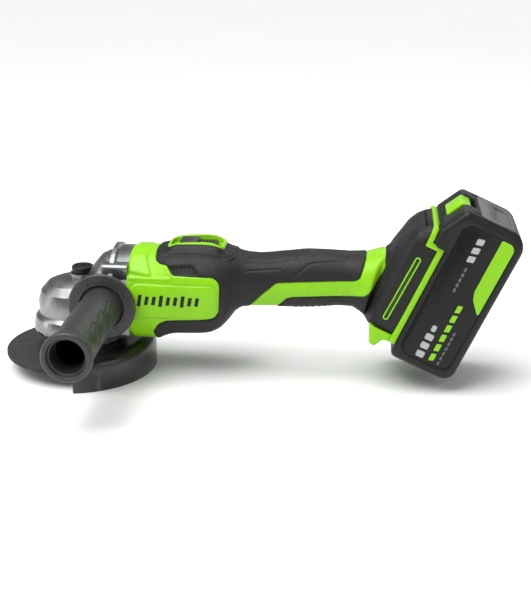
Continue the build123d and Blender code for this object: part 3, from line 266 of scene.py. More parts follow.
def join(name, parts):
    """One object from several, keeping each one's materials."""
    bpy.ops.object.select_all(action="DESELECT")
    for part in parts:
        part.select_set(True)
    bpy.context.view_layer.objects.active = parts[0]
    if len(parts) > 1:
        bpy.ops.object.join()
    parts[0].name = name
    parts[0].data.name = name
    return parts[0]


def place(obj, body, slot, *replaced):
    """Ride a body and stand for CAD nodes, which are hidden; the slot argument is not used."""
    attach(obj, body)
    if replaced:
        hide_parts(*replaced)
    return obj


# ---------------------------------------------------------------- materials
def linear(colour):
    """Linear colour from 8-bit sRGB."""
    return tuple(((c / 255 + 0.055) / 1.055) ** 2.4 if c > 10 else c / 3294.6 for c in colour) + (1.0,)


def noise(nodes, links, scale, detail, stretch=(1, 1, 1)):
    """Noise in the piece's own metres, stretched along its axes."""
    place_at = nodes.new("ShaderNodeTexCoord")
    mapping = nodes.new("ShaderNodeMapping")
    mapping.inputs["Scale"].default_value = stretch
    texture = nodes.new("ShaderNodeTexNoise")
    texture.inputs["Scale"].default_value = scale
    texture.inputs["Detail"].default_value = detail
    links.new(place_at.outputs["Object"], mapping.inputs["Vector"])
    links.new(mapping.outputs["Vector"], texture.inputs["Vector"])
    return texture.outputs["Fac"]


def spread(nodes, links, source, low, high, start=0.3, end=0.7):
    """Carry a 0..1 signal into another range."""
    node = nodes.new("ShaderNodeMapRange")
    node.inputs["From Min"].default_value = start
    node.inputs["From Max"].default_value = end
    node.inputs["To Min"].default_value = low
    node.inputs["To Max"].default_value = high
    links.new(source, node.inputs["Value"])
    return node.outputs["Result"]


def mixed(nodes, links, factor, first, second):
    """Colour mix of two fixed colours or sockets."""
    node = nodes.new("ShaderNodeMix")
    node.data_type = "RGBA"
    links.new(factor, node.inputs["Factor"])
    for value, socket in ((first, node.inputs["A"]), (second, node.inputs["B"])):
        if isinstance(value, tuple):
            socket.default_value = value
        else:
            links.new(value, socket)
    return node.outputs["Result"]


def finish_of(name, colour, roughness, metallic=0.0, grain=(2500.0, 0.15), mottle=(60.0, 0.08),
              spread_by=0.06, coat=0.0, specular=0.5, stretch=(1, 1, 1), wear=None, speckle=None):
    """Procedural surface: mottled colour, uneven roughness, fine grain, and paler edges where worn."""
    material = bpy.data.materials.new(name)
    material.use_nodes = True
    nodes, links = material.node_tree.nodes, material.node_tree.links
    shader = nodes["Principled BSDF"]
    base = linear(colour)
    dark = tuple(c * (1 - mottle[1]) for c in base[:3]) + (1.0,)
    pale = tuple(min(1.0, c * (1 + mottle[1])) for c in base[:3]) + (1.0,)
    tone = mixed(nodes, links, spread(nodes, links, noise(nodes, links, mottle[0], 4.0), 0, 1), dark, pale)
    if speckle:
        scale, other, start, end = speckle
        spots = spread(nodes, links, noise(nodes, links, scale, 3.0), 0, 1, start, end)
        tone = mixed(nodes, links, spots, tone, linear(other))
    if wear:
        geometry = nodes.new("ShaderNodeNewGeometry")
        edges = spread(nodes, links, geometry.outputs["Pointiness"], 0, 1, wear[1], wear[2])
        tone = mixed(nodes, links, edges, tone, linear(wear[0]))
    links.new(tone, shader.inputs["Base Color"])
    uneven = noise(nodes, links, 180.0, 5.0, stretch)
    links.new(spread(nodes, links, uneven, roughness - spread_by, roughness + spread_by),
              shader.inputs["Roughness"])
    bump = nodes.new("ShaderNodeBump")
    bump.inputs["Strength"].default_value = grain[1]
    bump.inputs["Distance"].default_value = 0.0003
    links.new(noise(nodes, links, grain[0], 3.0, stretch), bump.inputs["Height"])
    links.new(bump.outputs["Normal"], shader.inputs["Normal"])
    shader.inputs["Metallic"].default_value = metallic
    shader.inputs["Coat Weight"].default_value = coat
    shader.inputs["Specular IOR Level"].default_value = specular
    return material


LIME = finish_of("lime_plastic", (133, 199, 12), 0.38, grain=(2200.0, 0.06), mottle=(45.0, 0.04), coat=0.05,
                 specular=0.3)
SKIN = finish_of("soft_black_skin", (25, 25, 26), 0.55, grain=(1900.0, 0.35), mottle=(50.0, 0.14),
                 specular=0.32)
BLACK = finish_of("black_nylon", (22, 23, 23), 0.46, grain=(1500.0, 0.22), mottle=(70.0, 0.12), specular=0.3)
HANDLE = finish_of("handle_nylon", (46, 47, 46), 0.45, grain=(1400.0, 0.25), mottle=(60.0, 0.10))
GREY = finish_of("grey_nylon", (84, 86, 87), 0.42, grain=(1500.0, 0.22), mottle=(60.0, 0.08))
PALE = finish_of("pale_print", (168, 171, 170), 0.45, grain=(2500.0, 0.05), mottle=(80.0, 0.05))
ALLOY = finish_of("cast_alloy", (124, 125, 126), 0.38, 0.92, grain=(900.0, 0.28), mottle=(38.0, 0.10),
                  spread_by=0.09, wear=((178, 179, 180), 0.51, 0.58))
BRIGHT = finish_of("machined_alloy", (132, 133, 134), 0.32, 0.95, grain=(700.0, 0.12), mottle=(40.0, 0.07),
                   spread_by=0.08)
STEEL = finish_of("ground_steel", (150, 150, 152), 0.28, 1.0, grain=(1600.0, 0.12), mottle=(80.0, 0.10),
                  stretch=(1, 1, 12))
BLACK_STEEL = finish_of("blackened_steel", (46, 46, 48), 0.38, 0.75, grain=(1300.0, 0.15),
                        mottle=(90.0, 0.16), wear=((120, 120, 122), 0.53, 0.60))
PAINT = finish_of("satin_black_paint", (30, 30, 30), 0.34, 0.0, grain=(1100.0, 0.10), mottle=(30.0, 0.10),
                  coat=0.25, wear=((74, 74, 74), 0.54, 0.62))
ABRASIVE = finish_of("bonded_abrasive", (37, 36, 35), 0.86, grain=(1300.0, 1.0), mottle=(140.0, 0.25),
                     speckle=(1900.0, (84, 80, 76), 0.58, 0.66))
SPRING = finish_of("spring_wire", (140, 142, 146), 0.25, 1.0, grain=(1500.0, 0.05), mottle=(120.0, 0.08))
COPPER = finish_of("winding_copper", (184, 104, 58), 0.34, 1.0, grain=(1100.0, 0.6), mottle=(300.0, 0.25),
                   stretch=(1, 6, 6))
BRASS = finish_of("contact_brass", (206, 176, 104), 0.26, 1.0, grain=(1800.0, 0.08), mottle=(90.0, 0.08))
BOARD = finish_of("board_green", (22, 74, 46), 0.40, grain=(900.0, 0.12), mottle=(140.0, 0.22), coat=0.3)
FELT = finish_of("felt", (98, 90, 78), 0.93, grain=(1800.0, 1.0), mottle=(500.0, 0.25))
LEAD = finish_of("lead_red", (150, 26, 20), 0.48, grain=(1400.0, 0.08), mottle=(120.0, 0.10))
WRAP = finish_of("cell_wrap", (28, 88, 118), 0.36, grain=(900.0, 0.08), mottle=(60.0, 0.10), coat=0.2)
LABEL = finish_of("label_film", (20, 20, 21), 0.34, grain=(2600.0, 0.04), mottle=(40.0, 0.08), coat=0.04,
                  specular=0.22)
SLOT_FLOOR = finish_of("deep_green", (38, 62, 34), 0.55, grain=(1500.0, 0.2), mottle=(80.0, 0.12))

SLOT_FINISH = {
    "lime_shell": LIME, "soft_skin": SKIN, "black_plastic": BLACK, "dark_plastic": HANDLE,
    "grey_plastic": GREY, "cast_alloy": ALLOY, "bright_alloy": BRIGHT, "steel": STEEL,
    "black_steel": BLACK_STEEL, "painted_steel": PAINT, "abrasive": ABRASIVE, "spring_steel": SPRING,
    "copper": COPPER, "brass_contact": BRASS, "board_green": BOARD, "felt": FELT, "lead_red": LEAD,
    "cell_wrap": WRAP, "label": LABEL,
}
NODE_SLOT = {name: node.data.materials[0].name.split(".")[0] for name, node in NODES.items()}
for node_name, node in NODES.items():
    node.data.materials[0] = SLOT_FINISH[NODE_SLOT[node_name]]


def detailed_copy(name, *nodes, width=0.8, segments=3, angle=28.0, flat=2.0, material=None):
    """New piece with the outline of CAD nodes, its edges rounded, standing for them."""
    meshes = bmesh.new()
    for node in nodes:
        meshes.from_mesh(NODES[node].data)
    bmesh.ops.remove_doubles(meshes, verts=meshes.verts, dist=2e-6)
    bmesh.ops.dissolve_limit(meshes, angle_limit=radians(flat), verts=meshes.verts, edges=meshes.edges)
    mesh = bpy.data.meshes.new(name)
    meshes.to_mesh(mesh)
    meshes.free()
    mesh.materials.append(material or SLOT_FINISH[NODE_SLOT[nodes[0]]])
    obj = bpy.data.objects.new(name, mesh)
    bpy.context.scene.collection.objects.link(obj)
    if width:
        bevelled(obj, width, segments, angle)
    sharp_by_angle(obj)
    return obj


# ---------------------------------------------------------------- body skin
def head_row(top_u, top_v, low_u, low_v, half, power):
    """Row of the body through the battery's foot, from its tilted frame."""
    top, low = tilted(top_u, top_v), tilted(low_u, low_v)
    return (top[0], top[2], low[0], low[2], half, power)


# Each row: top point (x, z), bottom point (x, z), half width, squareness.
BODY_ROWS = [
    (50, 97.4, 50, 22.6, 37.4, 2.1), (60, 97.3, 60, 22.9, 37.3, 2.12), (70, 97.2, 70, 23.2, 37.2, 2.2),
    (76, 97.9, 76, 26.4, 37.1, 2.35), (84, 98.5, 84, 29.5, 37.0, 2.6), (106, 99.0, 106, 30.5, 37.0, 2.6),
    (117, 98, 117, 33, 36, 2.55), (126, 96, 126, 41, 32.5, 2.5), (132.5, 94.5, 132.5, 49, 27.5, 2.45),
    (139, 93.3, 139, 52, 23.5, 2.4), (149, 92.8, 149, 52.1, 21.5, 2.35), (161, 94.1, 161, 52.1, 20.4, 2.3),
    (174, 95.7, 174, 52.2, 20, 2.3), (190, 97.4, 190, 52.8, 20, 2.3), (206, 97.1, 206, 54.2, 20, 2.3),
    (215, 96.7, 215, 54.8, 20.2, 2.35), (222, 96.4, 223, 54.6, 20.8, 2.4), (233, 96.5, 228, 52.5, 22.6, 2.6),
    (243, 98.8, 232, 50, 24.6, 2.9),
    head_row(196, -33.5, 141, -29, 19.5, 3.2), head_row(205, -31, 140.5, -27.5, 22.5, 3.6),
    head_row(213, -28.6, 140, -25.5, 26.5, 4.2), head_row(221, -25.9, 139.7, -23.5, 31.0, 5.0),
    head_row(227.5, -21.5, 139.3, -20, 33.4, 5.6), head_row(231.5, -17.5, 139, -16.5, 34.0, 6.0),
    head_row(234, -13.5, 139, -13, 34.2, 6.0), head_row(234.3, -8.0, 139, -8, 34.4, 6.0),
    head_row(234.4, -4.7, 139, -4.7, 34.5, 6.0),
]
SPACING = 0.75
COLUMNS = 316
PANEL = [(40, 0), (68, 0), (69.3, 36.2), (74.3, 43.9), (80.7, 47.1), (121.6, 49.5), (122.9, 83.0),
         (86.4, 83.7), (81.2, 90.4), (75, 90.6), (71.2, 92.1), (69.1, 98.4), (70, 120), (40, 120)]
BAND = [(140, 50), (154, 66.3), (160, 71.5), (165, 76.1), (225, 79.9), (229.6, 82), (233.8, 95.8), (235, 120),
        (249, 120), (248.3, 91.5), (239.8, 73.5), (233.1, 68.4), (223.9, 67.2), (177.5, 64.3), (172.8, 62.9),
        (162, 50)]
ARROW = [(48, 84.3), (68.7, 81.0), (69.0, 84.4), (63.4, 95.2), (48, 95.4)]
VENT = [(80.8, 89.7), (86.1, 83.9), (107.8, 83.8), (102.5, 90.5), (98.7, 91.1)]
GRIP_LINES = [[(141, 94.0), (159.8, 93.1), (169.5, 96.3), (176, 101.6)],
              [(141, 90.3), (166.3, 90.2), (179.3, 94.1), (185.7, 103.1)],
              [(141, 84.6), (168, 86.3), (177, 79.6), (189.5, 90.3), (195, 91.7), (218, 93.6), (222, 97.2)]]
SCREW_HOLES = [(125.5, 80.0), (131.5, 67.0), (187.0, 58.8), (228.0, 86.0), (243.0, 66.0)]
HOLE_R = 3.3
SCREW_SEAT_Y = 12.0
OPENING = ((SWITCH_X, 0.0), (21.4, 11.3), 4.0)
TONGUE_HALF = 23.9


def body_grid():
    """Points of the skin, row by row, before any detail."""
    values = np.array(BODY_ROWS, float)
    lengths = np.hypot(np.diff(values[:, 0] + values[:, 2]), np.diff(values[:, 1] + values[:, 3])) / 2
    t = np.concatenate([i + np.arange(n) / n for i, n in
                        enumerate(max(2, int(round(length / SPACING))) for length in lengths)])
    rows = smooth_path(values, np.append(t, len(values) - 1.0))
    angle = -pi / 2 + 2 * pi * np.arange(COLUMNS) / COLUMNS
    top, low = rows[:, [0, 1]], rows[:, [2, 3]]
    middle, reach = (top + low) / 2, (top - low) / 2
    power = rows[:, 5:6]
    radius = (np.abs(np.cos(angle)) ** power + np.abs(np.sin(angle)) ** power) ** (-1 / power)
    across, up = radius * np.cos(angle), radius * np.sin(angle)
    points = np.stack([middle[:, :1] + reach[:, :1] * up, across * rows[:, 4:5],
                       middle[:, 1:] + reach[:, 1:] * up], axis=2)
    return points


def grid_normals(points):
    along = np.gradient(points, axis=0)
    around = np.roll(points, -1, axis=1) - np.roll(points, 1, axis=1)
    normals = np.cross(around, along)
    normals /= np.linalg.norm(normals, axis=2, keepdims=True) + 1e-12
    centre = points.mean(axis=1, keepdims=True)
    outward = np.sign(((points - centre) * normals).sum(axis=2).mean())
    return normals * outward


PANEL_EDGE = rounded(PANEL, [0, 0, 2, 5, 5, 8, 8, 4, 4, 3, 3, 3, 0, 0], 6)
BAND_EDGE = rounded(BAND, [0, 2, 4, 5, 6, 4, 6, 0, 0, 6, 6, 5, 4, 6, 4, 0], 4)


def lime_distance(x, z):
    return np.minimum(polygon_distance(x, z, PANEL_EDGE), polygon_distance(x, z, BAND_EDGE))


def cut_distance(points):
    """Signed distance to the skin's openings: screw holes, switch opening, the tongue's slot."""
    x, y, z = points[..., 0], points[..., 1], points[..., 2]
    u, v = to_tilted(x, z)
    holes = np.min([np.hypot(x - hx, z - hz) for hx, hz in SCREW_HOLES], axis=0) - HOLE_R
    holes = np.where(y > 0, holes, 1e3)
    switch = np.where(z > MOTOR_Z, box_distance(x, y, *OPENING), 1e3)
    slot = np.maximum.reduce([np.abs(y) - TONGUE_HALF, -19.2 - v, SLOT_TOP - u])
    head = np.maximum(-14.0 - v, 219.4 - u)
    return np.minimum.reduce([holes, switch, slot, head])


def body_relief(points):
    """How far the skin stands proud of its plain form."""
    x, y, z = points[..., 0], points[..., 1], points[..., 2]
    u, v = to_tilted(x, z)
    lime = lime_distance(x, z)
    black = step(lime, -0.1, 0.7)
    relief = 0.45 * black - 0.55 * groove(lime, 0.45)
    plate = box_distance(x, z, (86.9, 63.2), (34.1, 13.8), 6.0)
    relief += 0.35 * (1 - step(plate, -1.2, 0.0)) - 0.7 * groove(plate, 0.45)
    relief += 1.3 * (1 - step(polygon_distance(x, z, ARROW), -1.6, 0.5))
    relief += 0.9 * groove(line_distance(x, z, [(48, 80.2), (69.0, 80.2), (84.0, 81.2)]), 1.0)
    side = step(np.abs(y), 16.0, 20.0)
    vent = polygon_distance(x, z, VENT)
    louvres = 0.75 + 0.25 * np.cos(2 * pi * (x + 0.35 * z) / 3.1)
    relief -= 2.2 * (1 - step(vent, -1.4, 0.3)) * louvres * side
    relief += 0.3 * groove(vent - 1.2, 0.8) * side
    deck = box_distance(x, y, (101.5, 0.0), (31.0, 19.5), 8.0)
    relief += 0.9 * (1 - step(deck, -1.0, 0.6)) * (z > 80)
    rim = box_distance(x, y, (SWITCH_X, 0.0), (22.5, 12.5), 6.0)
    ends = step(x, 77, 87) * (1 - step(x, 116, 126))
    relief += 3.5 * (1 - step(rim, 0.6, 7.5)) * (z > 80) * ends
    relief -= 0.5 * groove(rim - 8.0, 0.7) * (z > 80)
    for line in GRIP_LINES:
        relief -= 0.55 * groove(line_distance(x, z, line), 0.55) * step(np.abs(y), 5.0, 8.0)
    ribs = step(x, 176, 180) * (1 - step(x, 205, 209)) * (1 - step(z, 57.0, 60.0))
    relief += 0.45 * ribs * (0.5 + 0.5 * np.cos(2 * pi * x / 4.6))
    ledge = step(x, 72, 78) * (1 - step(x, 112, 118))
    relief -= 0.5 * groove(z - (40.5 + 0.02 * (x - 70)), 0.7) * ledge
    relief += 0.4 * (1 - step(z, 40.0, 41.2)) * ledge
    relief += 0.8 * groove(v + 21.5, 1.1) * step(u, 146, 152) * (1 - step(u, 222, 227)) * black
    dark_slot = line_distance(u, v, [(156.0, -15.6), (205.0, -14.2)])
    relief -= 1.1 * (1 - step(dark_slot, 0.9, 2.0)) * step(np.abs(y), 28, 30)
    relief -= 0.45 * groove(y, 0.35)
    dash = np.abs((x - 180.0 - 0.5 * (z - 71.0)) % 5.4 - 2.7) < 1.7
    row = (np.abs(z - 71.2 - 0.02 * (x - 200.0)) < 1.5) & (x > 179) & (x < 221)
    relief += 0.3 * (dash & row)
    collar = step(x, 50.0, 52.5)
    return relief * collar - 1.0 * (1 - collar)


def snap(points, field, fixed):
    """Move grid points onto a field's zero line, so that a clean edge runs along it."""
    rows, columns = field.shape
    for axis in (0, 1):
        second = np.roll(np.arange(rows * columns).reshape(rows, columns), -1, axis=axis)
        first = np.arange(rows * columns).reshape(rows, columns)
        if axis == 0:
            first, second = first[:-1], second[:-1]
        for a, b in zip(first.ravel(), second.ravel()):
            ia, ib = divmod(a, columns), divmod(b, columns)
            fa, fb = field[ia], field[ib]
            if fa * fb >= 0:
                continue
            t = fa / (fa - fb)
            near, far, share = (ia, ib, t) if t < 0.5 else (ib, ia, 1 - t)
            if fixed[near]:
                near, far, share = far, near, 1 - share
                if fixed[near]:
                    continue
            points[near] += (points[far] - points[near]) * share
            field[near] = 0.0
            fixed[near] = True
    return points


def body_skin():
    """Lime shell and black soft skin of both halves, cut from one continuous surface."""
    points = body_grid()
    fixed = np.zeros(points.shape[:2], bool)
    fixed[0] = fixed[-1] = True
    fixed[:, 0] = fixed[:, COLUMNS // 2] = True
    opened = cut_distance(points)
    snap(points, opened, fixed)
    lime = lime_distance(points[..., 0], points[..., 2])
    snap(points, lime, fixed)
    points = points + grid_normals(points) * body_relief(points)[..., None]
    rows = len(points)
    index = np.arange(rows * COLUMNS).reshape(rows, COLUMNS)
    corners = np.stack([index[:-1], index[1:], np.roll(index, -1, 1)[1:], np.roll(index, -1, 1)[:-1]], 2)
    corners = corners.reshape(-1, 4)
    flat, lime_flat, open_flat = points.reshape(-1, 3), lime.ravel(), opened.ravel()
    kinds = {}
    for quad in corners:
        for face in split_face(quad, lime_flat, open_flat):
            if open_flat[face].sum() < 0:
                continue
            half = "right" if flat[face, 1].sum() > 0 else "left"
            kind = "housing_" if lime_flat[face].sum() < 0 else "overmould_"
            kinds.setdefault(kind + half, []).append(face)
    return flat, kinds


def split_face(quad, *fields):
    """A quad, or its two triangles where a field's zero line runs corner to corner."""
    for field in fields:
        values = field[quad]
        if values.min() < 0 < values.max():
            if abs(values[0]) + abs(values[2]) <= abs(values[1]) + abs(values[3]):
                return [quad[[0, 1, 2]], quad[[0, 2, 3]]]
            return [quad[[0, 1, 3]], quad[[1, 2, 3]]]
    return [quad]


def skin_piece(name, flat, faces, material, depth):
    """One piece of the skin, its open edges turned inwards by a wall's depth."""
    faces = [list(map(int, face)) for face in faces]
    used = sorted({i for face in faces for i in face})
    where = {old: new for new, old in enumerate(used)}
    obj = new_mesh(name, flat[used], [[where[i] for i in face] for face in faces], material)
    tidy_normals(obj)
    mesh = bmesh.new()
    mesh.from_mesh(obj.data)
    mesh.normal_update()
    rims = [edge for edge in mesh.edges if edge.is_boundary]
    made = bmesh.ops.extrude_edge_only(mesh, edges=rims)
    for vertex in [g for g in made["geom"] if isinstance(g, bmesh.types.BMVert)]:
        x, y, z = vertex.co / MM
        in_hole = y > SCREW_SEAT_Y and min(np.hypot(x - hx, z - hz) for hx, hz in SCREW_HOLES) < HOLE_R + 0.4
        if in_hole:
            vertex.co.y = SCREW_SEAT_Y * MM
            continue
        u, v = to_tilted(x, z)
        if x < 51.5:
            inward = Vector((0.3, -y, MOTOR_Z - z)).normalized() * 3.0
        elif v > -5.5:
            inward = Vector((0, -np.sign(y) * min(abs(y), 1.0), 0)) * 3.0
        else:
            centre = Vector((x, 0.0, 75.0 if x < 236 else z - 8.0))
            inward = (centre - Vector((x, y, z))).normalized() * depth
        vertex.co += inward * MM
    for edge in rims:
        edge.smooth = False
    bmesh.ops.recalc_face_normals(mesh, faces=mesh.faces)
    mesh.to_mesh(obj.data)
    mesh.free()
    return obj


SKIN_POINTS, SKIN_FACES = body_skin()
for node_name, piece_faces in sorted(SKIN_FACES.items()):
    lime_part = node_name.startswith("housing")
    piece = skin_piece("skin_" + node_name, SKIN_POINTS, piece_faces, LIME if lime_part else SKIN,
                       1.6 if lime_part else 1.2)
    place(piece, "grinder", NODE_SLOT[node_name], node_name)


def skin_y(x, z, side):
    """How far out the skin stands at a side point, from its nearest grid points."""
    near = SKIN_POINTS[SKIN_POINTS[:, 1] * side > 1.0]
    gaps = (near[:, 0] - x) ** 2 + (near[:, 2] - z) ** 2
    closest = np.argsort(gaps)[:4]
    weights = 1 / (gaps[closest] + 0.01)
    return float((near[closest, 1] * weights).sum() / weights.sum())


# ---------------------------------------------------------------- foot: lime rail frame, lobe and channel
def by_side(v, u, y):
    return tilted(u, v, y)


def by_top(v, y, u):
    return tilted(u, v, y)


def by_face(y, u, v):
    return tilted(u, v, y)


def slot_cutter():
    """T-shaped slot that the battery's tongue slides in."""
    neck, wide = 19.8, TONGUE_HALF
    outline = [(3.0, -neck), (-9.5, -neck), (-9.5, -wide), (-18.9, -wide), (-18.9, wide), (-9.5, wide),
               (-9.5, neck), (3.0, neck)]
    return prism("slot", outline, by_top, 141.0, 250.0)


RAIL = [(-4.6, 138.5), (-0.3, 138.5), (-0.3, 222.9), (-10.8, 222.9), (-10.8, RAIL_TOP), (-14.4, RAIL_TOP),
        (-14.4, 218.9), (-4.6, 218.9)]
rail = prism("foot_rail_frame", rounded(RAIL, [0.4, 0.4, 1.2, 1.2, 1.0, 1.0, 0.6, 0.6], 4), by_side,
             -FOOT_HALF, FOOT_HALF, LIME)
cut(rail, [slot_cutter()])
FACE = [(-FOOT_HALF, 130.0), (FOOT_HALF, 130.0), (FOOT_HALF, RAIL_TOP), (-FOOT_HALF, RAIL_TOP)]
corners = prism("corners", rounded(FACE, [0, 0, 8, 8], 8), by_face, -30.0, 5.0)
cut(rail, [corners], "INTERSECT")
bevelled(rail, 0.5, 2, 40)


def serration(low, high):
    """Slanted ribs on the strip along the head's top edge, between two distances from the middle."""
    made = []
    for k in range(-8, 9):
        y_rib = 3.6 * k
        if low < abs(y_rib) < high:
            rib = prism("rib", [(y_rib - 0.7, 234.4), (y_rib + 0.9, 234.4), (y_rib + 1.3, 235.3),
                                (y_rib - 0.3, 235.3)], by_face, -14.2, -10.9, LIME)
            made.append(bevelled(rib, 0.25, 2))
    return made


rail = sharp_by_angle(join("foot_rail_frame", [rail] + serration(24.5, 28.5)))
place(rail, "grinder", "lime_shell")

LOBE = [(-24, 143), (-17.6, 129.6), (-13, 129.4), (-9, 137.4), (-0.3, 137.4), (-0.3, 143)]
lobe = prism("foot_lobe", rounded(LOBE, [1, 4, 3, 2, 0.5, 0.5], 6), by_side, -33.4, 33.4, LIME)
bevelled(lobe, 2.0, 4, 35)
place(sharp_by_angle(lobe), "grinder", "lime_shell")

CORE = [(-19.9, 141.5), (-4.8, 141.5), (-4.8, SLOT_TOP), (-14.3, SLOT_TOP), (-14.3, 229.5), (-19.9, 225.5)]
core = prism("foot_channel", CORE, by_side, -31.0, 31.0, BLACK)
cut(core, [slot_cutter()])
bevelled(core, 0.4, 2, 40)
place(sharp_by_angle(core), "grinder", "black_plastic")

# The dark slot on each side of the foot: its ends in (u, v), its trim's loop and the inlay's strips.
SLOT_ENDS = (np.array([155.0, -15.6]), np.array([206.0, -14.2]))
TRIM_LOOP_R = 1.75
TRIM_WIRE_R = 0.62
ARC_STEPS = 12
INLAY_STEPS = 30
INLAY_HALF = 1.4
for side, name in ((-1, "left"), (1, "right")):
    first, last = SLOT_ENDS
    along = (last - first) / np.linalg.norm(last - first)
    across = np.array([-along[1], along[0]])
    path = []
    for end, turn in ((first, pi / 2), (last, -pi / 2)):
        for i in range(ARC_STEPS + 1):
            a = turn + pi * i / ARC_STEPS
            path.append(end + TRIM_LOOP_R * (along * cos(a) + across * sin(a)))
    curve = bpy.data.curves.new("foot_slot_trim_" + name, "CURVE")
    curve.dimensions = "3D"
    curve.bevel_depth = TRIM_WIRE_R * MM
    curve.bevel_resolution = 3
    line = curve.splines.new("POLY")
    line.points.add(len(path) - 1)
    for point, (u_at, v_at) in zip(line.points, path):
        spot = tilted(u_at, v_at)
        spot[1] = skin_y(spot[0], spot[2], side) + side * 0.15
        point.co = (*(spot * MM), 1.0)
    line.use_cyclic_u = True
    helper = bpy.data.objects.new("trim", curve)
    bpy.context.scene.collection.objects.link(helper)
    bpy.context.view_layer.update()
    mesh = bpy.data.meshes.new_from_object(helper.evaluated_get(bpy.context.evaluated_depsgraph_get()))
    bpy.data.objects.remove(helper)
    trim = bpy.data.objects.new("foot_slot_trim_" + name, mesh)
    bpy.context.scene.collection.objects.link(trim)
    mesh.materials.clear()
    mesh.materials.append(LIME)
    mesh.polygons.foreach_set("use_smooth", [True] * len(mesh.polygons))
    place(trim, "grinder", "lime_shell")
    strips, quads = [], []
    for k in range(INLAY_STEPS + 1):
        middle = first + (last - first) * k / INLAY_STEPS
        for offset in (-INLAY_HALF, 0.0, INLAY_HALF):
            spot = tilted(*(middle + across * offset))
            spot[1] = skin_y(spot[0], spot[2], side) + side * 0.10
            strips.append(spot)
    for k in range(INLAY_STEPS):
        for j in (0, 1):
            a = 3 * k + j
            quads.append([a, a + 3, a + 4, a + 1])
    inlay = new_mesh("foot_slot_inlay_" + name, strips, quads, SLOT_FLOOR)
    thick = inlay.modifiers.new("thick", "SOLIDIFY")
    thick.thickness = 0.3 * MM
    thick.offset = 0.0
    apply_modifiers(inlay)
    place(inlay, "grinder", "black_plastic")


# ---------------------------------------------------------------- lime side panel: generic bars
def on_skin(name, outline, side, material, lift=0.10):
    """Thin printed shape that lies on the body's side; outline in (x, z), convex."""
    outline = np.array(outline, float)
    middle = outline.mean(axis=0)
    rings, count = 5, len(outline)
    points = []
    for k in range(rings):
        share = 1 - k / rings
        for corner in outline:
            x, z = middle + (corner - middle) * share
            points.append((x, skin_y(x, z, side) + side * lift, z))
    points.append((middle[0], skin_y(*middle, side) + side * lift, middle[1]))
    faces = []
    for k in range(rings - 1):
        for i in range(count):
            j = (i + 1) % count
            faces.append([k * count + i, k * count + j, (k + 1) * count + j, (k + 1) * count + i])
    last = (rings - 1) * count
    faces += [[last + i, last + (i + 1) % count, rings * count] for i in range(count)]
    obj = new_mesh(name, points, faces, material)
    thick = obj.modifiers.new("thick", "SOLIDIFY")
    thick.thickness = 0.16 * MM
    thick.offset = 0.0
    return apply_modifiers(obj)


BAR_START, BAR_PITCH, BAR_Z = 60.0, 5.6, 64.2
for side, name in ((-1, "left"), (1, "right")):
    bars = []
    for k in range(9):
        x_bar = BAR_START + BAR_PITCH * k
        tall = 3.4 if k % 3 else 4.6
        outline = [(x_bar - 1.6, BAR_Z - tall), (x_bar + 1.2, BAR_Z - tall), (x_bar + 2.6, BAR_Z + tall),
                   (x_bar - 0.2, BAR_Z + tall)]
        bars.append(on_skin("bar", rounded(outline, 0.5, 3), side, BLACK))
    place(join("panel_bars_" + name, bars), "grinder", "black_plastic")


# ---------------------------------------------------------------- battery
BLOCK = [(0, BATTERY_BOTTOM), (BATTERY_T, BATTERY_BOTTOM), (BATTERY_T, BATTERY_TOP), (0.5, BATTERY_TOP),
         (-10.4, SLOPE_U), (-10.4, SHOULDER_U), (0, SHOULDER_U)]
BLOCK_RADII = [5.0, 9.0, 13.8, 5.0, 2.0, 1.0, 0.8]
ROUND = 5.0               # rounding of the edges along both sides
POCKET = [(-14, 240.8), (6.2, 240.8), (6.2, 248.8), (10.6, 248.8), (10.6, 262), (-14, 262)]
LABEL_CENTRE = (24.8, 192.0)
LABEL_SIZE = (41.4, 112.0)
LABEL_BACK, LABEL_FRONT, PRINT_TOP = 36.85, 37.45, 37.49
CAP_CENTRE_V = 28.0


def battery_block():
    """Solid battery block: its outline shrinks towards both sides, which rounds their edges."""
    outline = np.array(rounded(BLOCK, BLOCK_RADII, 8))
    turns = np.linspace(0, pi / 2, 9)
    near = [(-(BATTERY_HALF - ROUND + ROUND * sin(t)), ROUND * (1 - cos(t))) for t in turns[::-1]]
    rows = near + [(-y, inset) for y, inset in near[::-1]]
    middle_v, middle_u = 22.0, 192.0
    points = []
    for y, inset in rows:
        for v, u in outline:
            squeeze = 1.1 * inset / 30.2 if v > middle_v else 0.5 * inset / 22.0
            points.append(tilted(middle_u + (u - middle_u) * (1 - inset / 64.0),
                                 middle_v + (v - middle_v) * (1 - squeeze), y))
    count = len(outline)
    faces = [list(range(count)), [(len(rows) - 1) * count + i for i in range(count)][::-1]]
    for k in range(len(rows) - 1):
        for i in range(count):
            j = (i + 1) % count
            faces.append([k * count + i, (k + 1) * count + i, (k + 1) * count + j, k * count + j])
    block = new_mesh("block", points, faces, BLACK)
    tidy_normals(block)
    return block


def seam_cutter(front):
    low, high = (-60.0, SEAM_V) if front else (SEAM_V, 90.0)
    return prism("half", [(low, 90.0), (high, 90.0), (high, 290.0), (low, 290.0)], by_side, -60.0, 60.0)


def pocket_cutter():
    return prism("pocket", POCKET, by_side, -13.8, 13.8)


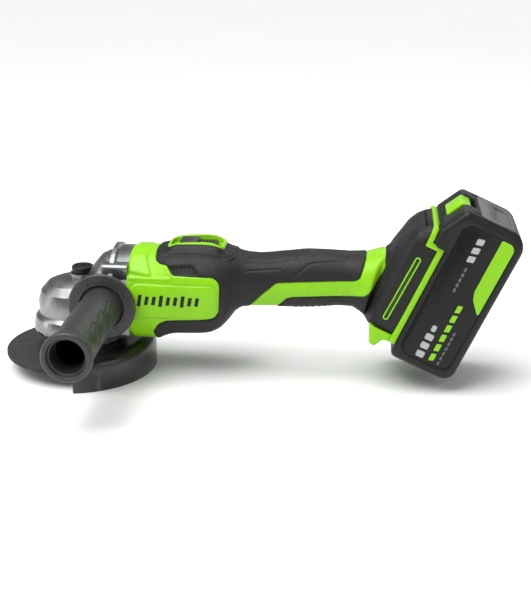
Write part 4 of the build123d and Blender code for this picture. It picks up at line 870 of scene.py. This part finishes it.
shell = cut(battery_block(), [seam_cutter(True), pocket_cutter()])
cap_outline = rectangle(CAP_CENTRE_V, 0.0, 30.4, 62.4, 5.2)
recesses = [prism("cap_recess", cap_outline, by_top, BATTERY_TOP - 2.6, BATTERY_TOP + 6.0)]
label_outline = rectangle(*LABEL_CENTRE, LABEL_SIZE[0] + 0.8, LABEL_SIZE[1] + 0.8, 8.2, 8)
for side in (-1, 1):
    recesses.append(prism("label_recess", label_outline, by_side,
                          side * (BATTERY_HALF - 0.7), side * (BATTERY_HALF + 3.0)))
cut(shell, recesses)
bevelled(shell, 0.3, 2, 55)
shell.name = "battery_shell_body"
place(sharp_by_angle(shell), "battery", "black_plastic", "battery_shell")

base = cut(battery_block(), [seam_cutter(False), pocket_cutter()])
bevelled(base, 0.3, 2, 55)
TONGUE = [(1.0, -19.2), (-10.1, -19.2), (-10.1, -23.3), (-18.3, -23.3), (-18.3, 23.3), (-10.1, 23.3),
          (-10.1, 19.2), (1.0, 19.2)]
tongue = prism("tongue", TONGUE, by_top, 148.0, SLOPE_U, BLACK)
SLOPE = [(-10.2, 235.9), (-12.0, 234.5), (-19.5, 229.0), (-30, 229.0), (-30, 250), (-10.2, 250)]
slope = prism("slope", SLOPE, by_side, -40.0, 40.0)
clips = [prism("clip", rectangle(-14.8, y_clip, 5.2, 7.6), by_top, 140.0, 166.0)
         for y_clip in (-15, -5, 5, 15)]
cut(tongue, [slope] + clips)
bevelled(tongue, 0.5, 2, 40)
base = sharp_by_angle(join("battery_base_body", [base, tongue]))
place(base, "battery", "black_plastic", "battery_base")
STRIP = [(-14.3, 231.0), (-10.6, 231.0), (-10.6, 234.9), (-12.0, 234.9), (-14.3, 234.1)]
strip = prism("strip", STRIP, by_side, -23.2, 23.2, LIME)
strip = sharp_by_angle(join("battery_tongue_strip", [bevelled(strip, 0.3, 2)] + serration(-1.0, 23.0)))
place(strip, "battery", "lime_shell")


def slanted(v, u, wide, rise, tall, corner):
    """Outline of a small bar whose ends rise to one side."""
    return rounded([(v, u), (v + wide, u + rise), (v + wide, u + rise + tall), (v, u + tall)], corner, 3)


for side, name in ((-1, "left"), (1, "right")):
    low, high, top = side * LABEL_BACK, side * LABEL_FRONT, side * PRINT_TOP
    plate = prism("battery_label_plate_" + name, rectangle(*LABEL_CENTRE, *LABEL_SIZE, 7.9, 8), by_side,
                  low, high, LABEL)
    bevelled(plate, 0.15, 2, 40)
    place(sharp_by_angle(plate), "battery", "label", "battery_label_" + name)

    def printed(outline, material):
        return prism("print", outline, by_side, high, top, material)

    wedge = rounded([(45.2, 186.5), (36.2, 196.8), (33.9, 203.5), (33.7, 247.6), (45.2, 247.6)],
                    [1.0, 6.0, 6.0, 1.2, 7.0], 6)
    marks = [printed(wedge, LIME)]
    for k in range(3):
        marks.append(printed(slanted(17.2, 221.5 + 7.3 * k, 5.4, 1.4, 5.0, 0.8), PALE))
    for k in range(5):
        marks.append(printed(rectangle(20.0, 198.0 + 4.4 * k, 2.0, 3.2, 0.5, 3), GREY))
    for k in range(6):
        marks.append(printed(slanted(28.2, 139.0 + 8.6 * k, 3.8, 1.2, 6.2, 0.6), LIME))
    for k in range(4):
        wide = 6.4 if k < 3 else 3.6
        marks.append(printed(rectangle(20.6, 141.0 + 7.6 * k, wide, 5.2, 1.2, 4), PALE))
    for k in range(7):
        marks.append(printed(rectangle(36.3, 140.0 + 4.4 * k, 1.7, 3.2, 0.5, 3), GREY))
    place(join("battery_label_marks_" + name, marks), "battery", "label")

cap = detailed_copy("battery_cap_panel", "battery_end_cap", width=0.45, segments=2, material=GREY)
place(cap, "battery", "grey_plastic", "battery_end_cap")

BUTTON = [(-8.8, 241.6), (-1.4, 255.2), (6.6, 255.2), (6.6, 249.6), (2, 249.6), (2, 241.6)]
button = prism("button", rounded(BUTTON, [1.0, 1.6, 1.6, 0, 0, 0], 4), by_side, -13.3, 13.3, LIME)
bevelled(button, 0.7, 3, 40)
parts = [button]
for k in range(4):
    share = 0.28 + 0.15 * k
    v_rib, u_rib = -8.8 + 7.4 * share, 241.6 + 13.6 * share
    rib = prism("rib", [(v_rib - 0.85, u_rib - 0.2), (v_rib + 0.3, u_rib - 0.8), (v_rib + 0.6, u_rib + 0.3),
                        (v_rib - 0.25, u_rib + 0.9)], by_side, -8.0, 8.0, LIME)
    parts.append(bevelled(rib, 0.25, 2))
button = sharp_by_angle(join("battery_release_key", parts))
place(button, "release_button", "lime_shell", "release_button")


# ---------------------------------------------------------------- gear head, guard, wheel
def copied(name, node, body, width, segments=2, angle=28.0, flat=2.0):
    obj = detailed_copy(name, node, width=width, segments=segments, angle=angle, flat=flat)
    return place(obj, body, NODE_SLOT[node], node)


copied("gear_case_body", "gear_case", "grinder", 0.7, 3, 22.0, 1.0)
cover = detailed_copy("bearing_cover_body", "bearing_cover", width=0.5, segments=2, angle=26.0, flat=1.0)


def turned_by(angle):
    """Carries (outwards, across, height) to a point, turned about the spindle."""
    return lambda r, t, z: (r * cos(angle) - t * sin(angle), r * sin(angle) + t * cos(angle), z)


NOTCH = [(22.6, -3.9), (36.0, -4.5), (36.0, 4.5), (22.6, 3.9)]
cut(cover, [prism("notch", NOTCH, turned_by(radians(45 + 90 * k)), COVER_BOTTOM - 1.0, COVER_BOTTOM + 5.0)
            for k in range(4)])
place(sharp_by_angle(cover), "grinder", NODE_SLOT["bearing_cover"], "bearing_cover")
copied("guard_shroud", "guard", "guard", 0.35, 2, 35.0, 0.5)
copied("guard_band", "guard_clamp", "guard", 0.4)
copied("clamp_nut_body", "clamp_nut", "spindle", 0.3)
copied("lock_cap", "spindle_lock_button", "lock_button", 0.35)
copied("switch_frame", "switch_bezel", "grinder", 0.5)
copied("switch_thumb", "switch_slider", "switch", 0.35)


def turned_relief(name, profile, origin, axis, material, relief, segments=240):
    """Lathe piece whose radius is adjusted by relief(angle, radius, distance)."""
    axis = np.array(axis, float)
    side = np.array((0.0, 0.0, 1.0)) if abs(axis[2]) < 0.9 else np.array((1.0, 0.0, 0.0))
    other = np.cross(axis, side)
    angles = 2 * pi * np.arange(segments) / segments
    radius, distance = np.array(profile, float).T
    a, r = np.meshgrid(angles, radius, indexing="ij")
    d = np.broadcast_to(distance, r.shape)
    dr, dd = relief(a, r, d)
    r, d = r + dr, d + dd
    points = (np.array(origin) + axis * d[..., None]
              + (side * np.cos(a)[..., None] + other * np.sin(a)[..., None]) * r[..., None]).reshape(-1, 3)
    count = len(profile)
    faces = []
    for i in range(segments):
        j = (i + 1) % segments
        for k in range(count):
            n = (k + 1) % count
            faces.append([i * count + k, j * count + k, j * count + n, i * count + n])
    obj = new_mesh(name, points, faces, material)
    mesh = bmesh.new()
    mesh.from_mesh(obj.data)
    bmesh.ops.remove_doubles(mesh, verts=mesh.verts, dist=1e-6)
    bmesh.ops.recalc_face_normals(mesh, faces=mesh.faces)
    mesh.to_mesh(obj.data)
    mesh.free()
    return obj


def dense(outline, longest):
    """Outline with its long runs divided."""
    result = []
    for (ax, ay), (bx, by) in zip(outline, outline[1:] + outline[:1]):
        pieces = max(1, int(np.hypot(bx - ax, by - ay) / longest))
        result += [(ax + (bx - ax) * k / pieces, ay + (by - ay) * k / pieces) for k in range(pieces)]
    return result


def handle_relief(a, r, d):
    """Sunk pad outlines and fine ribs on the grip, small bumps round the flange's well."""
    grip = step(d, 58, 62) * (1 - step(d, 134, 138)) * (r > 15.0)
    amount = np.zeros_like(r)
    for centre in (radians(-72), radians(72), radians(180)):
        turn = (a - centre + pi) % (2 * pi) - pi
        arc = turn * 15.8
        for k in range(3):
            middle = 72.0 + 23.5 * k
            lean = arc + (d - middle) * 0.28
            pad = box_distance(lean, d, (0.0, middle), (7.2, 10.3), 5.0)
            amount -= 0.55 * groove(pad, 0.45)
            amount += 0.25 * (1 - step(pad, -1.4, -0.4))
            inner = box_distance(lean, d, (0.0, middle), (3.2, 6.0), 3.0)
            amount -= 0.4 * groove(inner, 0.4)
    amount *= grip
    knurl = step(r, 17.8, 18.4) * step(d, 140, 141)
    amount -= 0.15 * knurl * (0.5 + 0.5 * np.cos(a * 60))
    bumps = 0.35 * groove(r - 21.5, 1.2) * np.maximum(0.0, np.cos(a * 12)) ** 6 * (np.abs(d - 45.7) < 0.6)
    return amount, bumps


# The handle's section: radius, distance from the mid-plane, corner radius.
HANDLE_SECTION = [(4.1, 41.5, 0), (24.5, 41.5, 1), (26.4, 43.3, 1), (26.4, 44.7, 0.8), (25.4, 45.7, 0.8),
                  (18.9, 45.7, 1), (17.6, 46.0, 0.6), (17.0, 44.6, 0.6), (16.0, 43.9, 0.5), (15.6, 45.2, 0.5),
                  (15.6, 49.7, 6), (15.8, 95.7, 0), (16.4, 135.4, 8), (17.2, 141.0, 6), (18.6, 145.4, 2),
                  (18.6, 148.2, 0.8), (17.4, 149.4, 0.8), (14.6, 149.4, 0.8), (13.4, 146.4, 0.5),
                  (12.6, 146.4, 0.5), (12.6, 53.7, 0.5), (4.1, 53.7, 0)]
handle_outline = rounded([row[:2] for row in HANDLE_SECTION], [row[2] for row in HANDLE_SECTION], 4)
handle = turned_relief("side_handle_grip", dense(handle_outline, 0.7), (HANDLE_X, 0, HANDLE_Z), (0, -1, 0),
                       HANDLE, handle_relief)
place(sharp_by_angle(handle, 40), "grinder", "dark_plastic", "side_handle")


def wheel_relief(a, r, d):
    """Pressed weave and slight waviness on the wheel's faces."""
    x, y = r * np.cos(a), r * np.sin(a)
    weave = np.sin(x * 2 * pi / 2.6) * np.sin(y * 2 * pi / 2.6)
    face = step(r, 22.0, 24.0) * (1 - step(r, 55.5, 57.0))
    sign = np.where(d > 9.4, 1.0, -1.0)
    return np.zeros_like(r), -0.09 * (1 + weave) * face * sign


ARBOR_R, WHEEL_R, WHEEL_BOTTOM, WHEEL_TOP = 11.12, 57.5, 7.8, 11.0
WHEEL = [(ARBOR_R, WHEEL_BOTTOM), (WHEEL_R, WHEEL_BOTTOM), (WHEEL_R, WHEEL_TOP), (ARBOR_R, WHEEL_TOP)]
wheel_outline = dense(rounded(WHEEL, [0.2, 0.5, 0.5, 0.2], 3), 0.8)
wheel = turned_relief("abrasive_wheel", wheel_outline, (0, 0, 0), (0, 0, 1), ABRASIVE, wheel_relief, 320)
place(sharp_by_angle(wheel, 45), "spindle", "abrasive", "cutting_wheel")

# ---------------------------------------------------------------- floor, light, camera
FLOOR = finish_of("pale_floor", (246, 246, 246), 0.75, grain=(300.0, 0.02), mottle=(3.0, 0.01))
FLOOR_Z = CAD_BOX[0].z / MM
FLOOR_HALF = 30000.0
floor = new_mesh("floor", [(-FLOOR_HALF, -FLOOR_HALF, FLOOR_Z), (FLOOR_HALF, -FLOOR_HALF, FLOOR_Z),
                           (FLOOR_HALF, FLOOR_HALF, FLOOR_Z), (-FLOOR_HALF, FLOOR_HALF, FLOOR_Z)],
                 [[0, 1, 2, 3]], FLOOR, smooth=False)

bpy.context.scene.view_settings.view_transform = "Standard"
world = bpy.data.worlds.new("studio")
bpy.context.scene.world = world
world.use_nodes = True
world.node_tree.nodes["Background"].inputs["Color"].default_value = (1.0, 1.0, 1.0, 1.0)
world.node_tree.nodes["Background"].inputs["Strength"].default_value = 0.24

CENTRE = Vector((0.146, 0.0, 0.06))


def softbox(name, place_at, size, watts):
    """Large square light aimed at the object."""
    light = bpy.data.lights.new(name, "AREA")
    light.shape = "RECTANGLE"
    light.size, light.size_y = size
    light.energy = watts
    obj = bpy.data.objects.new(name, light)
    bpy.context.scene.collection.objects.link(obj)
    obj.location = place_at
    obj.rotation_euler = (CENTRE - Vector(place_at)).to_track_quat("-Z", "Y").to_euler()
    return obj


softbox("key", (-0.35, -0.75, 1.05), (0.6, 0.4), 4.5)
softbox("fill", (0.95, -0.65, 0.55), (0.6, 0.6), 1.4)
softbox("top", (0.15, 0.25, 1.25), (1.0, 0.4), 4.5)
softbox("strip_left", (-0.75, -0.15, 0.35), (0.25, 0.7), 2.2)
softbox("back", (0.4, 1.0, 0.7), (0.8, 0.5), 1.5)

overhead = bpy.data.lights.new("overhead", "SUN")
overhead.energy = 2.7
overhead.angle = radians(50.0)
overhead_lamp = bpy.data.objects.new("overhead", overhead)
bpy.context.scene.collection.objects.link(overhead_lamp)
overhead_lamp.rotation_euler = (radians(12.0), radians(-14.0), 0.0)

camera_data = bpy.data.cameras.new("camera")
camera_data.lens = 69.15
camera_data.sensor_width = 36.0
camera_data.clip_start, camera_data.clip_end = 0.01, 50.0
camera = bpy.data.objects.new("camera", camera_data)
bpy.context.scene.collection.objects.link(camera)
camera.location = (0.2435, -0.8612, 0.3633)
camera.rotation_euler = (Vector((0.1547, 0.0, 0.0548)) - camera.location).to_track_quat("-Z", "Y").to_euler()
bpy.context.scene.camera = camera
